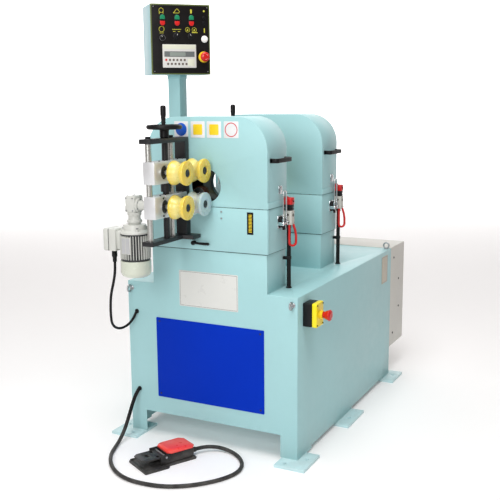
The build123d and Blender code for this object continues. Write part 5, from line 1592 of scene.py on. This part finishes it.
    # yellow ring of the stop button
    stop = controls["stop"]
    addSheet(bm, [circleLoop(0.0238, stop, 44), circleLoop(0.0105, stop, 28)], 0.004, 0.0012, face, 14)
    meshPiece("controlPanel", bm, ("controlBlack", "controlBlack", "controlBlack", "blackPlastic",
            "buttonGreen", "safetyRed", "lampWhite", "markYellow", "steel", "fasciaGrey", "windowGrey",
            "windowPale", "fasciaTint", "keyBrown", "safetyYellow"), "control_box",
            ("control_panel",))


makeControlPanel(controlBox, panelControls)

stopCap = {"stem": 0.0098, "foot": 0.017, "cap": 0.021, "lift": 0.017, "length": 0.016, "inset": 0.008}
sideCap = {"stem": 0.0098, "foot": 0.015, "cap": 0.023, "lift": 0.021, "length": 0.027, "inset": 0.008}


# Mushroom head with a finger groove and turn marks round its skirt
def makeStopButton(name, body, node, place, cap):
    bm = bmesh.new()
    addTurned(bm, ((0, -cap["inset"] + 0.0005), (cap["stem"], -cap["inset"] + 0.0005),
            (cap["stem"], cap["lift"] + 0.001), (0, cap["lift"] + 0.001)), place.translation,
            place.to_3x3() @ Vector((0, 0, 1)), 32, 1)
    foot, r, low, high = cap["foot"], cap["cap"], cap["lift"], cap["lift"] + cap["length"]
    profile = [(0, low - 0.0075), (0.0112, low - 0.0075), (0.0118, low - 0.006), (0.0118, low - 0.0006),
            (foot - 0.001, low), (foot, low + 0.0012), (r - 0.002, high - 0.01),
            (r - 0.0002, high - 0.0075), (r - 0.0006, high - 0.0055), (r - 0.003, high - 0.0025),
            (r - 0.007, high - 0.0008), (r - 0.011, high - 0.0002), (0.004, high), (0, high)]
    addTurned(bm, profile, place.translation, place.to_3x3() @ Vector((0, 0, 1)), 56)
    for k in range(3):
        a = 2 * math.pi * k / 3 + 0.4
        arc = [place @ Vector((0.0115 * math.cos(a + t), 0.0115 * math.sin(a + t), high - 0.0006))
                for t in (0.0, 0.2, 0.4, 0.6, 0.8)]
        addBar(bm, arc, 0.0006, 8, finish=2)
    meshPiece(name, bm, ("safetyRed", "steel", "lampWhite"), body, (node,))


stopPlane = boxPlace @ Matrix.Translation((*panelControls["stop"],
        controlBox["depth"] / 2 + controlBox["panelThickness"]))
makeStopButton("panelStopButton", "panel_stop_button", "panel_stop_button", stopPlane, stopCap)

stopStation = {"y": -0.521, "z": 0.607, "width": 0.074, "tall": 0.098, "back": 0.038, "lid": 0.022}
sidePlane = faceFrame((0.4 + stopStation["back"] + stopStation["lid"], stopStation["y"], stopStation["z"]),
        (1, 0, 0), (0, 1, 0))
makeStopButton("sideStopButton", "side_stop_button", "side_stop_button", sidePlane, sideCap)


def makeStopStation(station):
    bm = bmesh.new()
    place = faceFrame((0.4, station["y"], station["z"]), (1, 0, 0), (0, 1, 0))
    half, tall = station["width"] / 2, station["tall"] / 2
    back, lid = station["back"], station["back"] + station["lid"]
    addBlock(bm, (-half + 0.0008, -tall + 0.0008, 0.0), (half - 0.0008, tall - 0.0008, back), 0.004, 3,
            place, 1)
    addBlock(bm, (-half + 0.002, -tall + 0.002, back - 0.001), (half - 0.002, tall - 0.002, back + 0.002),
            0.001, 1, place, 2)
    bored = [roundedLoop(2 * half, 2 * tall, 0.007), circleLoop(0.0103, (0, 0), 28)]
    addSheet(bm, bored, station["lid"] - 0.0015, 0.003, lifted(place, back + 0.0015))
    addTurned(bm, mm((12.8, -0.5), (18.5, -0.5), (18.5, 2), (16.5, 3.2), (16.5, 12.8), (15.5, 14),
            (13.4, 14), (12.8, 13.4), (12.8, -0.5)), place @ Vector((0, 0, lid)), (1, 0, 0), 40, 3)
    spots = cornerSpots(place, half - 0.0085, tall - 0.0085, lid - 0.0005)
    addScrews(bm, spots, 0.7, 2)
    for side in (-1, 1):
        for dz in (-0.02, 0.0, 0.02):
            addTurned(bm, mm((0, -0.5), (7.5, -0.5), (7.5, 1), (6.6, 1.6), (0, 1.6)),
                    place @ Vector((side * (half - 0.0022), dz, back / 2)),
                    place.to_3x3() @ Vector((side, 0, 0)), 24, 1)
    meshPiece("stopStation", bm, ("stopYellow", "blackPlastic", "blackPlastic", "safetyYellow"), "root",
            ("stop_station",))


makeStopStation(stopStation)
print("controls made")


# Foot switch

footSwitch = {"centre": (-0.098, -0.823), "turn": -28.7, "length": 0.246, "toeWidth": 0.15,
        "toeLength": 0.112, "rearWidth": 0.116, "plate": 0.008, "bodyStart": 0.118, "bodyHeight": 0.05,
        "bodyWidth": 0.096, "lip": 0.008, "overhang": 0.006, "treadleWidth": 0.088,
        "treadleLength": 0.104, "pivotHeight": 0.038, "pivotBack": 0.108}


def footFrame(switch):
    turn = math.radians(switch["turn"])
    forward = Vector((-math.sin(turn), math.cos(turn), 0))
    right = Vector((math.cos(turn), math.sin(turn), 0))
    toe = Vector((*switch["centre"], 0)) - forward * (switch["length"] / 2)
    return faceFrame(toe, (0, 0, 1), right)


# Its own frame has x across, y from the toe to the cord end and z up
def makeFootBase(switch, place):
    bm = bmesh.new()
    toe, rear = switch["toeWidth"] / 2, switch["rearWidth"] / 2
    neck, length = switch["toeLength"], switch["length"]
    right = [(toe - 0.004, 0), (toe, 0.004), (toe, neck - 0.01), (toe - 0.004, neck - 0.002),
            (rear + 0.002, neck + 0.004), (rear, neck + 0.008), (rear, length - 0.006),
            (rear - 0.006, length)]
    outline = [(-toe + 0.004, 0)] + right + [(-x, y) for x, y in reversed(right[1:])]
    holes = [circleLoop(0.0032, (sx * (toe - 0.012), 0.014), 18) for sx in (-1, 1)]
    plate, end = switch["plate"], length - switch["lip"]
    addSheet(bm, [outline] + holes, plate, 0.0012, place)
    start, half, tall = switch["bodyStart"], switch["bodyWidth"] / 2, switch["bodyHeight"]
    addBlock(bm, (-half, start, plate - 0.001), (half, end, tall), 0.0055, 4, place)
    # cheeks that carry the pivot, raised rims beside the toe end and feet at the rear corners
    for side in (-1, 1):
        x = side * (switch["treadleWidth"] / 2 + 0.004)
        addBlock(bm, (x - 0.003, start - 0.036, plate - 0.001), (x + 0.003, start + 0.006, tall - 0.001),
                0.0022, 3, place)
        x = side * (toe - 0.003)
        addBlock(bm, (x - 0.003, 0.006, plate - 0.001), (x + 0.003, neck - 0.014, plate + 0.005), 0.0018, 2,
                place)
        spot = place @ Vector((side * (switch["treadleWidth"] / 2 + 0.0068), switch["pivotBack"],
                switch["pivotHeight"]))
        addTurned(bm, mm((0, 0), (4.6, 0), (4.6, 1), (3.6, 1.6), (0, 1.6)), spot,
                place.to_3x3() @ Vector((side, 0, 0)), 20, 1)
        x = side * (rear - 0.004)
        addBlock(bm, (x - 0.003, end - 0.018, plate - 0.001), (x + 0.003, end, plate + 0.004), 0.0015, 2,
                place)
    relief = place @ Vector((0.02, end - 0.002, 0.024))
    back = place.to_3x3() @ Vector((0, 1, 0))
    addTurned(bm, mm((0, 0), (12.5, 0), (12.5, 5), (11.2, 6.2), (10.4, 6.8), (10.2, 14), (9.4, 25.5),
            (8.4, 26), (0, 26)), relief, back, 28)
    addRidges(bm, 5, 0.0034, 0.0096, 0.0012, "blackPlastic",
            faceFrame(relief + back * 0.0095, back, (0, 0, 1)))
    meshPiece("footSwitchBase", bm, ("blackPlastic", "steel"), "root",
            ("foot_switch_base",))


# Red lid over the rear half: layers are inset, height over the body and cut corner
def makeFootCover(switch, place):
    cover = bmesh.new()
    start, end = switch["bodyStart"], switch["length"] - switch["lip"]
    wide, deep = switch["bodyWidth"] + 2 * switch["overhang"], end - start + switch["overhang"]
    rings = []
    for inset, rise, c in mm((0, 0, 14), (0, 6.5, 14), (1.5, 8, 14.5), (8.5, 12.8, 17.5), (10.5, 13.6, 18),
            (13, 14, 19)):
        w, d = wide / 2 - inset, deep / 2 - inset
        spots = ((w, -d + c), (w, d - c), (w - c, d), (-w + c, d), (-w, d - c), (-w, -d + c), (-w + c, -d),
                (w - c, -d))
        rings.append([cover.verts.new(place @ Vector((x, (start + end) / 2 + y,
                switch["bodyHeight"] + rise))) for x, y in spots])
    skinRings(cover, rings, capped=True)
    edges = [e for e in cover.edges if len(e.link_faces) == 2 and e.calc_face_angle(0) > math.radians(14)]
    bmesh.ops.bevel(cover, geom=edges, offset=0.0009, segments=2, profile=0.5, affect="EDGES",
            clamp_overlap=True)
    bmesh.ops.recalc_face_normals(cover, faces=cover.faces)
    meshPiece("footSwitchCover", cover, "capRed", "root", ("foot_switch_cover",), 24)


def makeTreadle(switch, place):
    treadle = bmesh.new()
    half, level, back = switch["treadleWidth"] / 2, switch["pivotHeight"], switch["pivotBack"]
    front = back - switch["treadleLength"]
    deck = [(-half, back - 0.004), (-half, front + 0.016), (-half + 0.012, front), (half - 0.012, front),
            (half, front + 0.016), (half, back - 0.004)]
    windows = [roundedLoop(0.024, 0.014, 0.0015, (0, front + 0.042))]
    windows += [roundedLoop(0.016, 0.011, 0.0015, (x, front + 0.076)) for x in (-0.028, 0.028)]
    addSheet(treadle, [deck] + windows, 0.0042, 0.0012, lifted(place, level - 0.001))
    for side in (-1, 1):
        x = side * (half - 0.00175)
        addBlock(treadle, (x - 0.00175, front + 0.016, level - 0.0035), (x + 0.00175, back, level + 0.001),
                0.0012, 2, place)
    addTurned(treadle, mm((0, 0), (4.6, 0), (5, 0.6), (5, 88.3), (4.6, 88.9), (0, 88.9)),
            place @ Vector((-0.04445, back, level)), place.to_3x3() @ Vector((1, 0, 0)), 24, 1)
    # ribs of the tread: a grey set across the toe and a row along each side
    low, high = level + 0.0028, level + 0.0035
    for k in range(11):
        y = front + 0.0045 + k * 0.002
        addBlock(treadle, (-half + 0.016, y - 0.0005, low), (half - 0.016, y + 0.0005, high), 0.0002, 1,
                place, 2)
    for side in (-1, 1):
        for k in range(12):
            y = front + 0.034 + k * 0.0058
            reach = 0.006 if abs(y - front - 0.076) < 0.008 else 0.013
            near, far = sorted((side * (half - 0.004), side * (half - 0.004 - reach)))
            addBlock(treadle, (near, y - 0.0007, low), (far, y + 0.0007, high), 0.0002, 1, place)
    meshPiece("footTreadle", treadle, ("blackPlastic", "steel", "treadGrey"), "foot_pedal",
            ("foot_pedal",))


for makePart in (makeFootBase, makeFootCover, makeTreadle):
    makePart(footSwitch, footFrame(footSwitch))
print("foot switch made")


# Rotors with their belt heads, seen through the tube openings

rotorShape = {"disc": 0.226, "thickness": 0.012, "place": 0.098, "bore": 0.07, "wall": 0.009,
        "length": 0.056, "heads": 3, "contact": (0.08, 0.026), "idler": (0.192, 0.018), "beltWidth": 0.034,
        "beltThickness": 0.003}


def makeRotor(shape, index):
    front = headFronts[index - 1] + shape["place"]
    body = "rotor_%d" % index
    bm = bmesh.new()
    back = Vector((0, 1, 0))
    disc = shape["thickness"]
    bore, spindle = shape["bore"], shape["bore"] + shape["wall"]
    addTurned(bm, ((bore, 0.0012), (bore + 0.0012, 0), (0.085, 0), (0.087, 0.0016), (0.2, 0.0016),
            (0.203, 0), (shape["disc"] - 0.001, 0), (shape["disc"], 0.001), (shape["disc"], disc - 0.001),
            (shape["disc"] - 0.001, disc), (spindle, disc), (spindle, disc + shape["length"] - 0.001),
            (spindle - 0.001, disc + shape["length"]), (bore + 0.001, disc + shape["length"]),
            (bore, disc + shape["length"] - 0.001), (bore, 0.0012)), (0, front, tubeHeight), back, 96)
    spots = []
    for k in range(shape["heads"]):
        a = math.radians(90 + 360 * k / shape["heads"])
        along = Vector((math.cos(a), 0, math.sin(a)))
        for reach, radius in (shape["contact"], shape["idler"]):
            centre = Vector((0, front - 0.004, tubeHeight)) + along * reach
            wide = shape["beltWidth"]
            addTurned(bm, ((0, -0.0042), (0.0068, -0.0042), (0.0068, 0.001), (radius - 0.003, 0.001),
                    (radius - 0.003, 0.0), (radius - 0.0008, 0.0), (radius, 0.001), (radius, wide - 0.001),
                    (radius - 0.0008, wide), (radius - 0.003, wide), (radius - 0.0035, wide - 0.003),
                    (0.011, wide - 0.003), (0.01, wide - 0.0005), (0, wide - 0.0005)), centre, -back, 48, 1)
            spots.append((centre - back * (wide - 0.0008), -back))
    addScrews(bm, spots, 1.3, 2)
    rim = [(Vector((0, front - 0.0002, tubeHeight)) + Vector((0.212 * math.cos(a), 0, 0.212 * math.sin(a))),
            -back) for a in (2 * math.pi * (k + 0.5) / 12 for k in range(12))]
    addScrews(bm, rim, 1.2, 2)
    meshPiece("rotor%d" % index, bm, ("blackSteel", "steel", "chrome"), body,
            ("rotor_%d" % index,))

    belts = bmesh.new()
    for k in range(shape["heads"]):
        a = math.radians(90 + 360 * k / shape["heads"])
        (reachA, radiusA), (reachB, radiusB) = shape["contact"], shape["idler"]
        tilt = math.acos((radiusA - radiusB) / (reachB - reachA))
        loops = []
        for extra in (0.0001, shape["beltThickness"]):
            loop = []
            for n in range(25):
                t = tilt + (2 * math.pi - 2 * tilt) * n / 24
                loop.append((reachA + (radiusA + extra) * math.cos(t), (radiusA + extra) * math.sin(t)))
            for n in range(25):
                t = -tilt + 2 * tilt * n / 24
                loop.append((reachB + (radiusB + extra) * math.cos(t), (radiusB + extra) * math.sin(t)))
            loops.append([(u * math.cos(a) - v * math.sin(a), u * math.sin(a) + v * math.cos(a))
                    for u, v in loop])
        place = faceFrame((0, front - 0.0045, tubeHeight), (0, -1, 0))
        addSheet(belts, [loops[1], loops[0]], shape["beltWidth"] - 0.001, 0.0003, place)
    meshPiece("polishingBelts%d" % index, belts, "beltAbrasive", body,
            ("polishing_belts_%d" % index,))


for index in (1, 2):
    makeRotor(rotorShape, index)


def makeBearings():
    bm = bmesh.new()
    for front in headFronts:
        start = front + 0.118
        addTurned(bm, mm((79.3, 1), (80.3, 0), (102.3, 0), (103.3, 1), (103.3, 39), (102.3, 40), (80.3, 40),
                (79.3, 39), (79.3, 1)), (0, start, tubeHeight), (0, 1, 0), 80)
        addBlock(bm, (-0.06, start + 0.0005, 0.851), (0.06, start + 0.0395, tubeHeight - 0.084), 0.0016)
        for side in (-1, 1):
            addBlock(bm, (side * 0.054 - 0.006, start + 0.0005, 0.851),
                    (side * 0.054 + 0.006, start + 0.0395, tubeHeight - 0.058), 0.0016)
    meshPiece("spindleBearings", bm, "blackSteel", "root", ("spindle_bearings",))


makeBearings()
print("rotors made")


bpy.data.objects.remove(capScrew)
